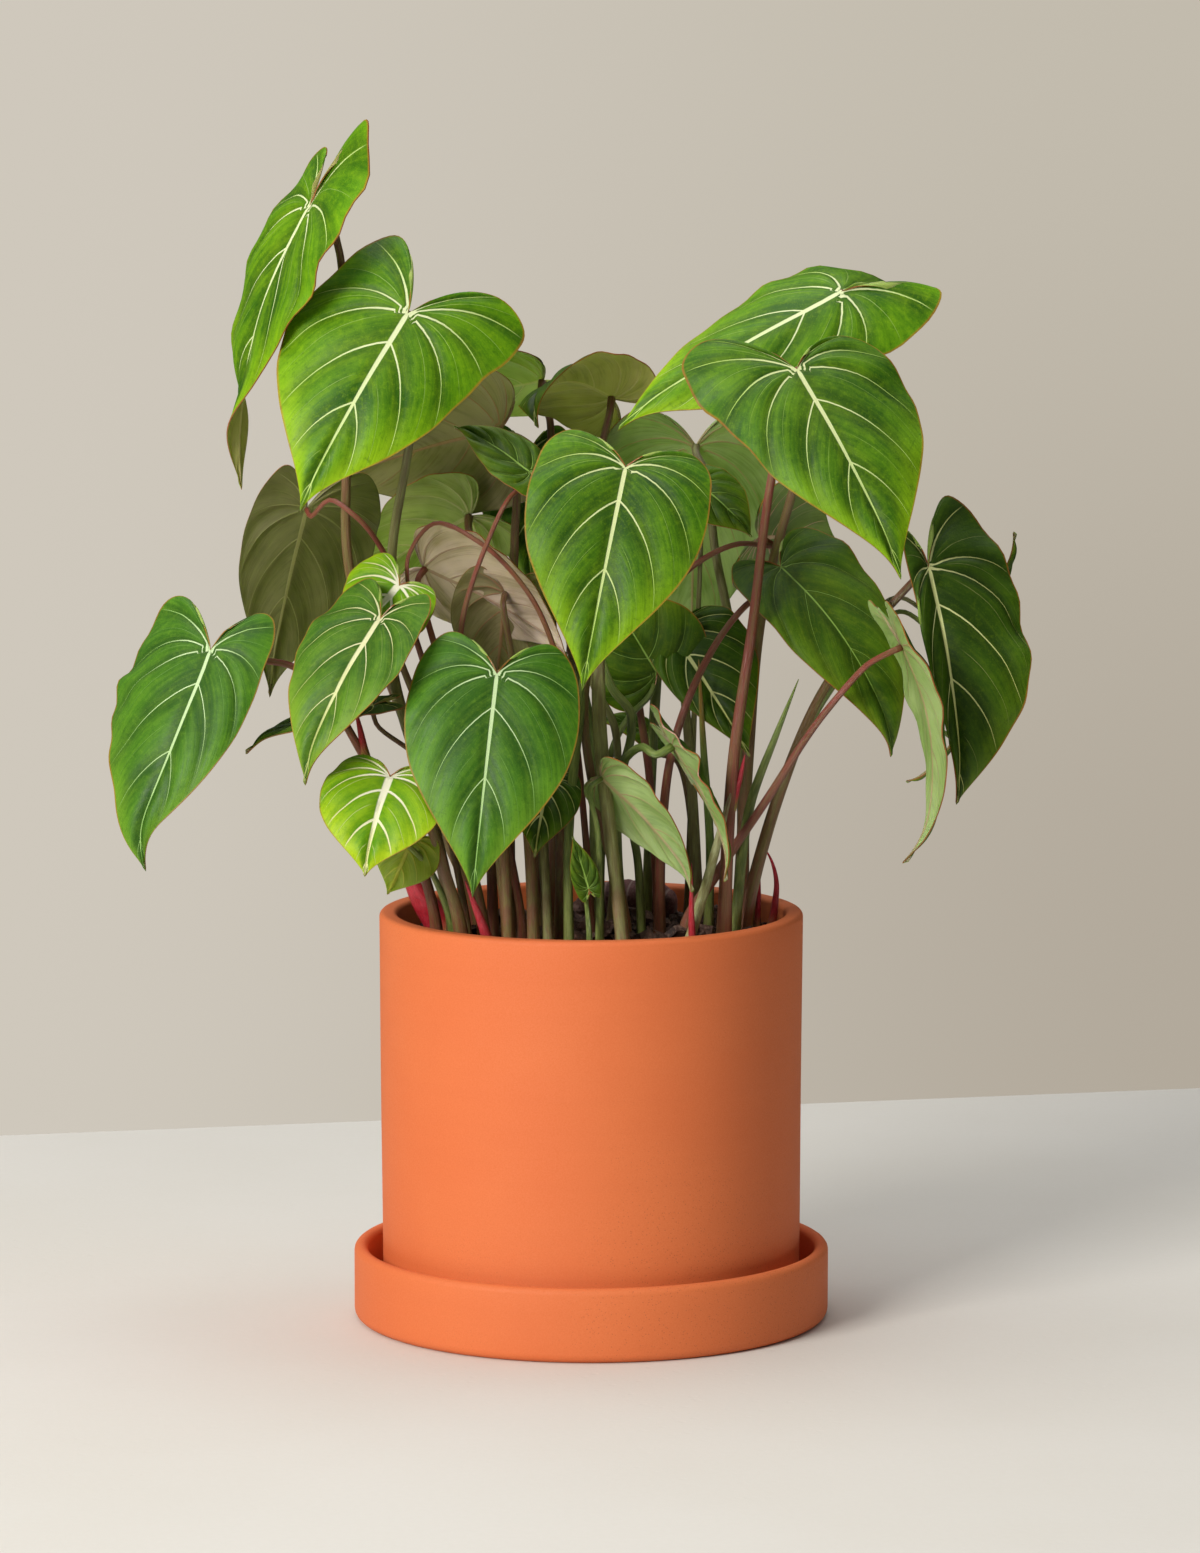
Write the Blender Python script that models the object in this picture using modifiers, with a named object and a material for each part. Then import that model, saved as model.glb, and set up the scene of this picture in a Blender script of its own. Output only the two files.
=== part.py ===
"""A potted philodendron: a terracotta pot and saucer, soil, and the leafy plant.

Metres, +Z up.  The origin is the centre of the saucer's underside, where the
plant stands.  The leaves spread mostly along X, and the front is at -Y.
"""
import math

import bmesh
import bpy
from mathutils import Matrix, Vector

# Pot and saucer, in metres.
POT_RIM_RADIUS = 0.100
POT_TAPER = 0.00125        # how much narrower the pot is at its foot
POT_WALL = 0.0085
POT_FLOOR = 0.012
POT_EDGE = 0.0025          # rounding of the rim and of the foot
RIM_HEIGHT = 0.194         # rim above the surface that the saucer stands on
DRAIN_RADIUS = 0.0075
SAUCER_WALL = 0.0065
SAUCER_FLOOR = 0.008
SAUCER_HEIGHT = 0.035
SAUCER_GAP = 0.00725       # between the pot's foot and the saucer's wall
SOIL_BELOW_RIM = 0.014
ROUND_STEPS = 48

# Plant.  Every place on the plant is measured from the middle of the soil's top
# on a pot of 0.100 rim radius, and grows with the pot.
PLANT_SCALE = POT_RIM_RADIUS / 0.100
BLADE_THICKNESS = 0.001
STALK_BASE_RADIUS = 0.0038
STALK_NECK_RADIUS = 0.0019
STALK_SIDES_RESOLUTION = 1
STALK_SPACING = 0.021
TOUCH_GAP = 0.0003

SOIL_TOP = RIM_HEIGHT - SOIL_BELOW_RIM

# The heart shape of half a blade of unit length.  Station 0 is the bottom of the
# notch, station 12 the tip: how far along the midrib, and how far sideways.
HEART_ALONG = (0.0, -0.10, -0.20, -0.22, -0.12, 0.05, 0.23, 0.42, 0.58, 0.72, 0.84, 0.93, 1.0)
HEART_ASIDE = (0.0, 0.17, 0.38, 0.62, 0.84, 0.965, 1.0, 0.90, 0.68, 0.42, 0.19, 0.055, 0.0)
# The same for the first stations of a blade whose lobe spreads wide.
SPREAD_ALONG = (0.0, -0.15, -0.22, -0.19, -0.10, 0.05, 0.23)
SPREAD_ASIDE = (0.0, 0.30, 0.68, 1.00, 1.08, 1.04, 1.0)
# How far each vein sets off ahead of its straight way to the margin, in degrees.
VEIN_BULGE = (0.0, 6.0, 12.0, 18.0, 26.0, 34.0, 40.0, 34.0, 24.0, 20.0, 18.0, 12.0, 0.0)
FIRST_STATION = 1.8
LAST_STATION = 12.0


def smooth_step(value):
    """Ease from 0 to 1."""
    value = min(max(value, 0.0), 1.0)
    return value * value * (3.0 - 2.0 * value)


def along_list(values, place):
    """Read a list of evenly spaced values at a place between them, smoothly."""
    place = min(max(place, 0.0), len(values) - 1.0)
    index = min(int(place), len(values) - 2)
    part = place - index
    before = values[index - 1] if index > 0 else 2 * values[0] - values[1]
    here = values[index]
    ahead = values[index + 1]
    beyond = values[index + 2] if index + 2 < len(values) else 2 * values[-1] - values[-2]
    bend = 2 * before - 5 * here + 4 * ahead - beyond
    twist = 3 * (here - ahead) + beyond - before
    return here + 0.5 * part * (ahead - before + part * (bend + part * twist))


class Blade:
    """The surface of one heart-shaped leaf blade.

    joint and tip are where the midrib starts and ends, and face is the way that the
    blade's upper side looks.  Angles are in degrees.  Pairs are for the left and
    the right half, seen from above with the tip ahead.
    """

    SAMPLES = 320
    LOBE_REACH = 0.6

    def __init__(self, joint, tip, face, width, arch=30, fold=8, cup=20, curl=20, sweep=0,
                 hook=0, twist=0, wave=0.012, lobes=(1, 1), spread=(0, 0), lift=(0, 0), skew=0):
        self.joint = Vector(joint)
        self.fold = math.radians(fold)
        self.cup = math.radians(cup)
        self.twist = math.radians(twist)
        self.wave = wave
        self.lobes = lobes
        self.spread = spread
        self.lift = lift
        self.skew = skew
        self.arch = math.radians(arch)
        self.curl = math.radians(curl)
        self.sweep = math.radians(sweep)
        self.hook = math.radians(hook)
        self.spine = self.make_spine()
        end = self.spine[-1]
        forward = end.normalized()
        upward = (Vector((0, 0, 1)) - forward * forward.z).normalized()
        local = Matrix((forward, upward.cross(forward), upward))
        chord = Vector(tip) - self.joint
        self.scale = chord.length / end.length
        self.forward = chord.normalized()
        looks = Vector(face)
        self.upward = (looks - self.forward * looks.dot(self.forward)).normalized()
        world = Matrix((self.forward, self.upward.cross(self.forward), self.upward)).transposed()
        self.turn = world @ local
        self.joint_forward = self.turn @ Vector((1, 0, 0))
        self.joint_upward = self.turn @ Vector((0, 0, 1))
        self.half_width = width / 2 / self.scale

    def heading(self, along):
        """The pitch and the yaw of the midrib at a place along it."""
        ahead = min(max(along, 0.0), 1.0)
        late = smooth_step((ahead - 0.7) / 0.3)
        return -self.arch * ahead - self.curl * late, self.sweep * ahead + self.hook * late

    def direction(self, along):
        """The unit vector along the midrib at a place along it."""
        pitch, yaw = self.heading(along)
        level = math.cos(pitch)
        return Vector((level * math.cos(yaw), level * math.sin(yaw), math.sin(pitch)))

    def make_spine(self):
        """Points along the midrib of a blade of unit length, starting behind the notch."""
        step = (1.0 + self.LOBE_REACH) / self.SAMPLES
        points = [Vector((0, 0, 0))]
        for sample in range(self.SAMPLES):
            points.append(points[-1] + self.direction((sample + 0.5) * step - self.LOBE_REACH) * step)
        start = points[round(self.LOBE_REACH / step)]
        return [point - start for point in points]

    def spine_at(self, along):
        """The point of the midrib's line at a place along it."""
        place = (along + self.LOBE_REACH) / (1.0 + self.LOBE_REACH) * self.SAMPLES
        place = min(max(place, 0.0), self.SAMPLES - 1e-6)
        index = int(place)
        return self.spine[index].lerp(self.spine[index + 1], place - index)

    def margin(self, station, half):
        """How far along and aside the margin of one half is at a station."""
        mix = self.spread[half]
        along = list(HEART_ALONG)
        aside = list(HEART_ASIDE)
        for index in range(len(SPREAD_ALONG)):
            along[index] += mix * (SPREAD_ALONG[index] - along[index])
            aside[index] += mix * (SPREAD_ASIDE[index] - aside[index])
        reach = along_list(along, station)
        if reach < 0:
            reach *= self.lobes[half]
        share = 1 + self.skew if half else 1 - self.skew
        return reach, along_list(aside, station) * self.half_width * share

    def flat_point(self, station, side):
        """The place on the unbent blade: a vein's station, and -1..1 from margin to margin."""
        reach, aside = self.margin(station, 1 if side > 0 else 0)
        start = max(0.0, (reach - 0.5) / 0.5) ** 1.35
        length = math.hypot(reach - start, aside)
        angle = math.atan2(aside, reach - start) + math.radians(along_list(VEIN_BULGE, station))
        middle = (start + 0.55 * length * math.cos(angle), 0.55 * length * math.sin(angle))
        q = abs(side)
        along = (1 - q) ** 2 * start + 2 * q * (1 - q) * middle[0] + q * q * reach
        across = 2 * q * (1 - q) * middle[1] + q * q * aside
        return along, math.copysign(across, side)

    def bent_point(self, along, across):
        """Put a place of the unbent blade on the bent blade, from the soil's middle."""
        pitch, yaw = self.heading(along)
        tangent = self.direction(along)
        edgeways = Vector((-math.sin(yaw), math.cos(yaw), 0))
        normal = tangent.cross(edgeways)
        turn = self.twist * smooth_step((along - 0.5) / 0.5)
        side_way = edgeways * math.cos(turn) + normal * math.sin(turn)
        up_way = normal * math.cos(turn) - edgeways * math.sin(turn)
        q = abs(across)
        bend = self.cup / self.half_width
        out = (math.sin(self.fold) - math.sin(self.fold - bend * q)) / bend
        rise = (math.cos(self.fold - bend * q) - math.cos(self.fold)) / bend
        half = 1 if across > 0 else 0
        ripple = math.sin(2 * math.pi * 2.2 * along + (1.1 if half else -1.1))
        rise += self.wave * (q / self.half_width) ** 2 * ripple
        rise += self.lift[half] * min(max(-along / 0.2, 0.0), 2.0) ** 1.5
        point = self.spine_at(along) + side_way * math.copysign(out, across) + up_way * rise
        return self.joint + self.turn @ point * self.scale

    def point(self, station, side):
        """The point of the blade at a station and a place from margin to margin."""
        return self.bent_point(*self.flat_point(station, side))


# Every leaf: its number, its blade, the foot of its stalk on the soil, and the
# points that the stalk passes, from the blade down.
LEAVES = (
    (1, dict(joint=(-0.130, -0.020, 0.346), tip=(-0.164, 0.000, 0.213), face=(-0.9, -0.42, 0.3),
             width=0.072, arch=40, curl=0, twist=75, lobes=(1.2, 1.6), lift=(0.05, 0)),
     (-0.052, -0.006), ((-0.117, -0.014, 0.326), (-0.114, -0.008, 0.246), (-0.112, -0.008, 0.171),
                        (-0.091, -0.004, 0.115), (-0.068, -0.004, 0.050))),
    (2, dict(joint=(-0.084, -0.050, 0.298), tip=(-0.133, -0.075, 0.209), face=(-0.1, -1, 0.4),
             width=0.096, arch=25, fold=-2, cup=25, lobes=(1.2, 1.3), spread=(-0.2, 1), skew=-0.08),
     (-0.064, -0.027), ((-0.083, -0.036, 0.248), (-0.093, -0.014, 0.183), (-0.093, -0.015, 0.131),
                        (-0.079, -0.025, 0.080))),
    (3, dict(joint=(-0.176, -0.045, 0.142), tip=(-0.205, -0.070, 0.042), face=(-0.45, -0.9, 0.35),
             width=0.082, arch=30, fold=0, cup=30, sweep=-20, hook=40, lobes=(1.2, 1),
             spread=(0.2, 0.5), skew=-0.3),
     (-0.072, -0.040), ((-0.140, -0.034, 0.134), (-0.102, -0.040, 0.086), (-0.077, -0.042, 0.035))),
    (4, dict(joint=(-0.097, -0.060, 0.158), tip=(-0.131, -0.085, 0.084), face=(-0.5, -0.8, 0.5),
             width=0.060, skew=-0.12),
     (-0.050, -0.045), ((-0.086, -0.046, 0.132), (-0.063, -0.045, 0.070))),
    (5, dict(joint=(-0.089, -0.034, 0.171), tip=(-0.114, -0.038, 0.141), face=(-0.2, -0.8, 0.6),
             width=0.050, arch=10, curl=5),
     (0.000, -0.030), ((-0.085, -0.022, 0.183), (-0.073, -0.024, 0.199), (-0.052, -0.030, 0.191),
                       (-0.030, -0.034, 0.169), (-0.011, -0.034, 0.120), (-0.003, -0.032, 0.060))),
    (6, dict(joint=(-0.043, -0.072, 0.134), tip=(-0.054, -0.100, 0.034), face=(0, -1, 0.3),
             width=0.081, arch=22, fold=4, cup=22, lobes=(0.8, 0.75)),
     (-0.038, -0.056), ((-0.042, -0.054, 0.105), (-0.042, -0.054, 0.050))),
    (7, dict(joint=(0.016, -0.060, 0.228), tip=(-0.004, -0.090, 0.128), face=(0, -1, 0.35),
             width=0.084, arch=28, lobes=(0.6, 0.55), spread=(0.2, 0.2)),
     (0.016, -0.044), ((0.004, -0.038, 0.164), (-0.003, -0.040, 0.109), (0.003, -0.039, 0.068),
                       (0.012, -0.042, 0.035))),
    (8, dict(joint=(-0.092, -0.077, 0.087), tip=(-0.103, -0.102, 0.044), face=(-0.1, -0.9, 0.6),
             width=0.052, arch=50),
     (-0.060, -0.058), ((-0.080, -0.066, 0.072), (-0.066, -0.060, 0.036))),
    (9, dict(joint=(0.095, -0.045, 0.272), tip=(0.142, -0.080, 0.178), face=(0.15, -0.9, 0.5),
             width=0.084, arch=25, fold=0, cup=22, lobes=(1.1, 0.45), spread=(0.8, -0.2), skew=0.14),
     (0.062, -0.048), ((0.090, -0.032, 0.255), (0.082, -0.034, 0.211), (0.075, -0.040, 0.155),
                       (0.066, -0.046, 0.091))),
    (10, dict(joint=(0.117, 0.010, 0.305), tip=(0.012, -0.005, 0.241), face=(-0.2, -0.75, 0.75),
              width=0.076, arch=10, fold=-12, lobes=(1.6, 1.6), spread=(-0.2, 0), lift=(-0.1, -0.05)),
     (0.070, 0.002), ((0.112, 0.017, 0.268), (0.094, 0.017, 0.207), (0.082, 0.017, 0.161),
                       (0.074, 0.012, 0.085))),
    (11, dict(joint=(0.158, -0.010, 0.177), tip=(0.171, -0.025, 0.067), face=(0.4, -0.9, 0.1),
              width=0.060, fold=18, cup=10, lobes=(0.8, 1.25), spread=(0.0, -0.4), skew=0.35),
     (0.072, -0.024), ((0.145, 0.002, 0.163), (0.112, -0.006, 0.124), (0.089, -0.018, 0.074))),
    (12, dict(joint=(0.144, -0.045, 0.144), tip=(0.145, -0.052, 0.043), face=(0.95, 0.25, 0.1),
              width=0.046, arch=55, fold=10),
     (0.044, -0.034), ((0.129, -0.044, 0.136), (0.108, -0.041, 0.112), (0.081, -0.036, 0.070),
                       (0.060, -0.034, 0.038))),
    (13, dict(joint=(0.089, -0.005, 0.177), tip=(0.141, -0.014, 0.088), face=(0.1, -0.7, 0.7),
              width=0.048, arch=70, lobes=(0.6, 0.6), skew=0.1),
     (0.032, -0.028), ((0.072, -0.010, 0.159), (0.053, -0.026, 0.134), (0.038, -0.033, 0.095),
                       (0.033, -0.030, 0.055))),
    (14, dict(joint=(0.040, 0.012, 0.142), tip=(0.075, -0.008, 0.087), face=(-0.1, -0.8, 0.5),
              width=0.048, lobes=(0.5, 0.5), skew=0.3),
     (0.050, 0.014), ((0.044, 0.022, 0.115), (0.048, 0.018, 0.065))),
    (15, dict(joint=(-0.133, 0.000, 0.204), tip=(-0.152, 0.015, 0.113), face=(-0.3, 1, 0.3),
             width=0.066, arch=20, fold=0, cup=-12, skew=-0.2),
     (-0.056, 0.022), ((-0.122, -0.012, 0.209), (-0.111, -0.017, 0.203), (-0.097, -0.006, 0.184),
                       (-0.087, -0.003, 0.157), (-0.076, 0.010, 0.120), (-0.061, 0.018, 0.050))),
    (16, dict(joint=(-0.043, 0.028, 0.239), tip=(-0.130, 0.050, 0.208), face=(-0.2, 0.9, 0.3),
              width=0.084, lobes=(0.8, 0.8)),
     (-0.039, 0.006), ((-0.037, 0.017, 0.222), (-0.036, 0.018, 0.189), (-0.040, 0.014, 0.129),
                       (-0.039, 0.008, 0.052))),
    (17, dict(joint=(-0.023, 0.066, 0.260), tip=(-0.080, 0.090, 0.235), face=(0, 0.6, 0.8),
              width=0.066, lobes=(0.6, 0.6), skew=0.15),
     (-0.018, 0.026), ((-0.020, 0.058, 0.243), (-0.020, 0.042, 0.177), (-0.017, 0.032, 0.110))),
    (18, dict(joint=(0.010, 0.042, 0.253), tip=(-0.025, -0.005, 0.242), face=(-0.2, 0.5, 0.8),
              width=0.062, arch=110),
     (-0.016, 0.046), ((0.006, 0.036, 0.235), (-0.006, 0.038, 0.175), (-0.011, 0.044, 0.100))),
    (19, dict(joint=(0.050, 0.055, 0.229), tip=(0.048, 0.065, 0.122), face=(0, 1, 0.25),
              width=0.086, skew=0.1, lobes=(0.8, 0.8)),
     (0.072, 0.026), ((0.054, 0.040, 0.219), (0.059, 0.031, 0.180), (0.065, 0.024, 0.150),
                      (0.072, 0.025, 0.063))),
    (20, dict(joint=(0.080, 0.030, 0.188), tip=(0.122, 0.080, 0.178), face=(-0.1, 1, 0.2),
              width=0.066, skew=-0.1),
     (0.032, 0.023), ((0.070, 0.018, 0.186), (0.044, 0.018, 0.172), (0.025, 0.022, 0.140),
                      (0.028, 0.024, 0.070))),
    (21, dict(joint=(-0.078, 0.000, 0.176), tip=(-0.010, -0.018, 0.135), face=(0.2, 0.8, 0.6),
              width=0.060, arch=25, lobes=(0.55, 0.55), skew=-0.15),
     (-0.046, -0.022), ((-0.077, -0.013, 0.155), (-0.066, -0.020, 0.120), (-0.050, -0.022, 0.070))),
    (22, dict(joint=(-0.028, -0.038, 0.224), tip=(-0.064, -0.022, 0.244), face=(-0.2, -0.5, 0.8),
              width=0.028),
     (-0.032, -0.032), ((-0.037, -0.038, 0.213), (-0.049, -0.042, 0.189), (-0.060, -0.042, 0.152),
                        (-0.042, -0.035, 0.069))),
    (23, dict(joint=(-0.030, 0.062, 0.224), tip=(-0.028, 0.072, 0.160), face=(-0.2, -1, 0.2),
              width=0.050),
     (0.002, 0.022), ((-0.016, 0.066, 0.160), (0.000, 0.050, 0.090), (0.002, 0.030, 0.040))),
    (25, dict(joint=(-0.020, -0.050, 0.082), tip=(-0.026, -0.070, 0.048), face=(0, -0.9, 0.4),
              width=0.034),
     (-0.014, -0.042), ((-0.016, -0.041, 0.066), (-0.014, -0.041, 0.035))),
    (27, dict(joint=(0.005, -0.056, 0.084), tip=(0.047, -0.082, 0.034), face=(0.3, 0.7, 0.5),
              width=0.036, lobes=(0.3, 0.3)),
     (0.004, -0.064), ((0.003, -0.066, 0.062), (0.004, -0.065, 0.032))),
    (28, dict(joint=(0.038, -0.048, 0.098), tip=(0.062, -0.076, 0.038), face=(0.8, 0.3, 0.4),
              width=0.030, lobes=(1.2, 1.0), skew=-0.4),
     (0.014, -0.028), ((0.024, -0.044, 0.097), (0.014, -0.036, 0.088), (0.012, -0.030, 0.050))),
)

# Young sheaths that stand between the stalks: name, radius at the foot, and points.
SHEATHS = (
    ("sheath_left", 0.0070, ((-0.070, -0.014, 0.008), (-0.077, -0.015, 0.017),
                             (-0.083, -0.016, 0.027), (-0.088, -0.017, 0.037))),
    ("sheath_front", 0.0030, ((-0.046, -0.066, 0.004), (-0.050, -0.066, 0.016),
                              (-0.055, -0.065, 0.028), (-0.058, -0.064, 0.036))),
    ("sheath_right", 0.0028, ((0.083, 0.000, 0.004), (0.0865, 0.000, 0.016),
                              (0.0875, 0.000, 0.028), (0.085, 0.000, 0.038), (0.081, 0.000, 0.045))),
)
# The creeping stem that lies on the soil: its points, and its radius at each.
RHIZOME = ((-0.002, 0.056, 0.0078), (0.008, 0.055, 0.0103), (0.020, 0.052, 0.0108),
           (0.031, 0.049, 0.0103), (0.041, 0.046, 0.0085))
RHIZOME_RADII = (0.0070, 0.0095, 0.0100, 0.0095, 0.0075)

TERRACOTTA = (0.72, 0.28, 0.13)
SOIL_BROWN = (0.035, 0.022, 0.016)
LEAF_GREEN = (0.055, 0.165, 0.025)
LEAF_DARK = (0.030, 0.095, 0.025)
LEAF_PALE = (0.120, 0.160, 0.045)
LEAF_UNDER = (0.110, 0.100, 0.035)
STALK_BROWN = (0.130, 0.070, 0.040)
SHEATH_RED = (0.420, 0.030, 0.050)
RHIZOME_BROWN = (0.100, 0.055, 0.050)
BLADE_COLOURS = {
    3: LEAF_DARK, 6: LEAF_DARK, 11: LEAF_DARK, 14: LEAF_DARK, 15: LEAF_UNDER, 16: LEAF_UNDER,
    19: LEAF_PALE, 21: LEAF_UNDER, 25: LEAF_DARK, 27: LEAF_PALE,
}


def remove_everything():
    """Take every object out of the scene."""
    for obj in list(bpy.data.objects):
        bpy.data.objects.remove(obj, do_unlink=True)


def make_material(name, colour, roughness):
    """A Principled material of one colour."""
    material = bpy.data.materials.new(name)
    material.use_nodes = True
    shader = material.node_tree.nodes["Principled BSDF"]
    shader.inputs["Base Color"].default_value = (*colour, 1.0)
    shader.inputs["Roughness"].default_value = roughness
    shader.inputs["Metallic"].default_value = 0.0
    return material


def add_object(name, data, collection, material, parent=None):
    """Put a mesh or a curve in the scene as an object of its own."""
    obj = bpy.data.objects.new(name, data)
    collection.objects.link(obj)
    data.materials.append(material)
    obj.parent = parent
    return obj


def rounded_corner(x, z, start, end, radius, steps=3):
    """Points round a corner of a profile, between two angles in degrees."""
    points = []
    for step in range(steps + 1):
        angle = math.radians(start + (end - start) * step / steps)
        points.append((x + radius * math.cos(angle), z + radius * math.sin(angle)))
    return points


def turned_object(name, profile, closed, collection, material):
    """Turn a profile of (radius, height) points about the Z axis."""
    mesh = bpy.data.meshes.new(name)
    edges = [(index, index + 1) for index in range(len(profile) - 1)]
    if closed:
        edges.append((len(profile) - 1, 0))
    mesh.from_pydata([(x, 0.0, z) for x, z in profile], edges, [])
    obj = add_object(name, mesh, collection, material)
    screw = obj.modifiers.new("turn", "SCREW")
    screw.axis = "Z"
    screw.angle = 2 * math.pi
    screw.steps = ROUND_STEPS
    screw.render_steps = ROUND_STEPS
    screw.use_merge_vertices = True
    screw.merge_threshold = 0.00005
    screw.use_smooth_shade = True
    return obj


def make_pot(collection, material):
    """The pot: a slightly tapered cylinder with a flat foot and a drain hole."""
    foot_height = SAUCER_FLOOR + TOUCH_GAP
    rim_height = RIM_HEIGHT
    outer_foot = POT_RIM_RADIUS - POT_TAPER
    inner_rim = POT_RIM_RADIUS - POT_WALL
    inner_foot = outer_foot - POT_WALL
    edge = POT_EDGE
    profile = rounded_corner(POT_RIM_RADIUS - edge, rim_height - edge, 90, 0, edge)
    profile += rounded_corner(outer_foot - edge, foot_height + edge, 0, -90, edge)
    profile.append((DRAIN_RADIUS, foot_height))
    profile.append((DRAIN_RADIUS, foot_height + POT_FLOOR))
    profile.append((inner_foot - edge, foot_height + POT_FLOOR))
    profile.append((inner_foot, foot_height + POT_FLOOR + edge))
    profile += rounded_corner(inner_rim + edge, rim_height - edge, 180, 90, edge)
    return turned_object("pot", profile, True, collection, material)


def make_saucer(collection, material):
    """The saucer: a round tray with an upright wall."""
    inner = POT_RIM_RADIUS - POT_TAPER + SAUCER_GAP
    outer = inner + SAUCER_WALL
    half_wall = SAUCER_WALL / 2
    inner_corner = 0.003
    outer_corner = 0.0045
    profile = [(0.0, SAUCER_FLOOR), (inner - inner_corner, SAUCER_FLOOR),
               (inner, SAUCER_FLOOR + inner_corner)]
    profile += rounded_corner(inner + half_wall, SAUCER_HEIGHT - half_wall, 180, 0, half_wall, 4)
    profile += rounded_corner(outer - outer_corner, outer_corner, 0, -90, outer_corner)
    profile.append((0.0, 0.0))
    return turned_object("saucer", profile, False, collection, material)


def make_soil(collection, material):
    """The soil: a plug that fills the pot to a little under its rim."""
    floor = SAUCER_FLOOR + TOUCH_GAP + POT_FLOOR
    lowest = floor + TOUCH_GAP
    edge = POT_EDGE
    inner_rim = POT_RIM_RADIUS - POT_WALL
    inner_foot = inner_rim - POT_TAPER
    low = floor + edge
    high = RIM_HEIGHT - edge
    share = (SOIL_TOP - low) / (high - low)
    top_radius = inner_foot + (inner_rim - inner_foot) * share - TOUCH_GAP
    foot_radius = inner_foot - TOUCH_GAP
    profile = [(0.0, SOIL_TOP), (top_radius - 0.002, SOIL_TOP), (top_radius, SOIL_TOP - 0.002),
               (foot_radius, low), (foot_radius - edge, lowest), (0.0, lowest)]
    return turned_object("soil", profile, False, collection, material)


def make_blade(name, blade, rows, columns, collection, material, parent):
    """One leaf blade: a grid laid over the blade's surface and given its thickness."""
    bm = bmesh.new()
    bmesh.ops.create_grid(bm, x_segments=rows, y_segments=columns, size=1.0)
    for vertex in bm.verts:
        share = (vertex.co.x + 1.0) / 2.0
        station = FIRST_STATION + (LAST_STATION - FIRST_STATION) * share
        vertex.co = blade.point(station, vertex.co.y) * PLANT_SCALE
    bmesh.ops.remove_doubles(bm, verts=bm.verts, dist=0.00002)
    bmesh.ops.triangulate(bm, faces=bm.faces, quad_method="SHORT_EDGE")
    mesh = bpy.data.meshes.new(name)
    bm.to_mesh(mesh)
    bm.free()
    mesh.shade_smooth()
    obj = add_object(name, mesh, collection, material, parent)
    solidify = obj.modifiers.new("thickness", "SOLIDIFY")
    solidify.thickness = BLADE_THICKNESS * PLANT_SCALE
    solidify.offset = 0.0
    return obj


def make_rod(name, points, radii, resolution, collection, material, parent):
    """A tapering rod through points, as a curve with filled ends."""
    curve = bpy.data.curves.new(name, "CURVE")
    curve.dimensions = "3D"
    curve.bevel_depth = 1.0
    curve.bevel_resolution = resolution
    curve.use_fill_caps = True
    spline = curve.splines.new("POLY")
    spline.points.add(len(points) - 1)
    spline.use_smooth = True
    for target, point, radius in zip(spline.points, points, radii):
        target.co = (*(Vector(point) * PLANT_SCALE), 1.0)
        target.radius = radius * PLANT_SCALE
    return add_object(name, curve, collection, material, parent)


def smooth_route(points, spacing):
    """Points on a smooth curve through the given points, about a spacing apart."""
    lengths = [(after - before).length for before, after in zip(points, points[1:])]
    slopes = [(after - before) / length
              for before, after, length in zip(points, points[1:], lengths)]
    tangents = [slopes[0]]
    for index in range(1, len(slopes)):
        before, after = lengths[index - 1], lengths[index]
        tangents.append((slopes[index - 1] * after + slopes[index] * before) / (before + after))
    tangents.append(slopes[-1])
    route = [points[0]]
    for index, length in enumerate(lengths):
        leave_pull = min(length, 2 * lengths[max(index - 1, 0)])
        arrive_pull = min(length, 2 * lengths[min(index + 1, len(lengths) - 1)])
        steps = max(2, math.ceil(length / spacing))
        for step in range(1, steps + 1):
            t = step / steps
            start = points[index] * (2 * t ** 3 - 3 * t ** 2 + 1)
            finish = points[index + 1] * (3 * t ** 2 - 2 * t ** 3)
            leave = tangents[index] * leave_pull * (t ** 3 - 2 * t ** 2 + t)
            arrive = tangents[index + 1] * arrive_pull * (t ** 3 - t ** 2)
            route.append(start + finish + leave + arrive)
    return route


def make_stalk(name, blade, foot, way, collection, material, parent):
    """One leaf stalk, from the soil to just under the blade's joint."""
    clearance = BLADE_THICKNESS / 2 + 0.0012
    end = blade.joint - blade.joint_upward * clearance
    neck = end - blade.joint_upward * 0.008
    start = Vector((foot[0], foot[1], TOUCH_GAP))
    passes = [Vector(point) for point in reversed(way)]
    route = smooth_route([start, *passes, neck, end], STALK_SPACING)
    route[1].xy = start.xy
    radii = []
    for index in range(len(route)):
        share = index / (len(route) - 1)
        radii.append(STALK_BASE_RADIUS + (STALK_NECK_RADIUS - STALK_BASE_RADIUS) * share ** 0.7)
    return make_rod(name, route, radii, STALK_SIDES_RESOLUTION, collection, material, parent)


def make_sheath(name, foot_radius, points, collection, material, parent):
    """A young sheath: a short rod that runs to a point."""
    route = smooth_route([Vector(point) for point in points], 0.007)
    radii = []
    for index in range(len(route)):
        share = index / (len(route) - 1)
        radii.append(foot_radius * (1.0 - 0.88 * share ** 1.6))
    return make_rod(name, route, radii, 2, collection, material, parent)


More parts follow.
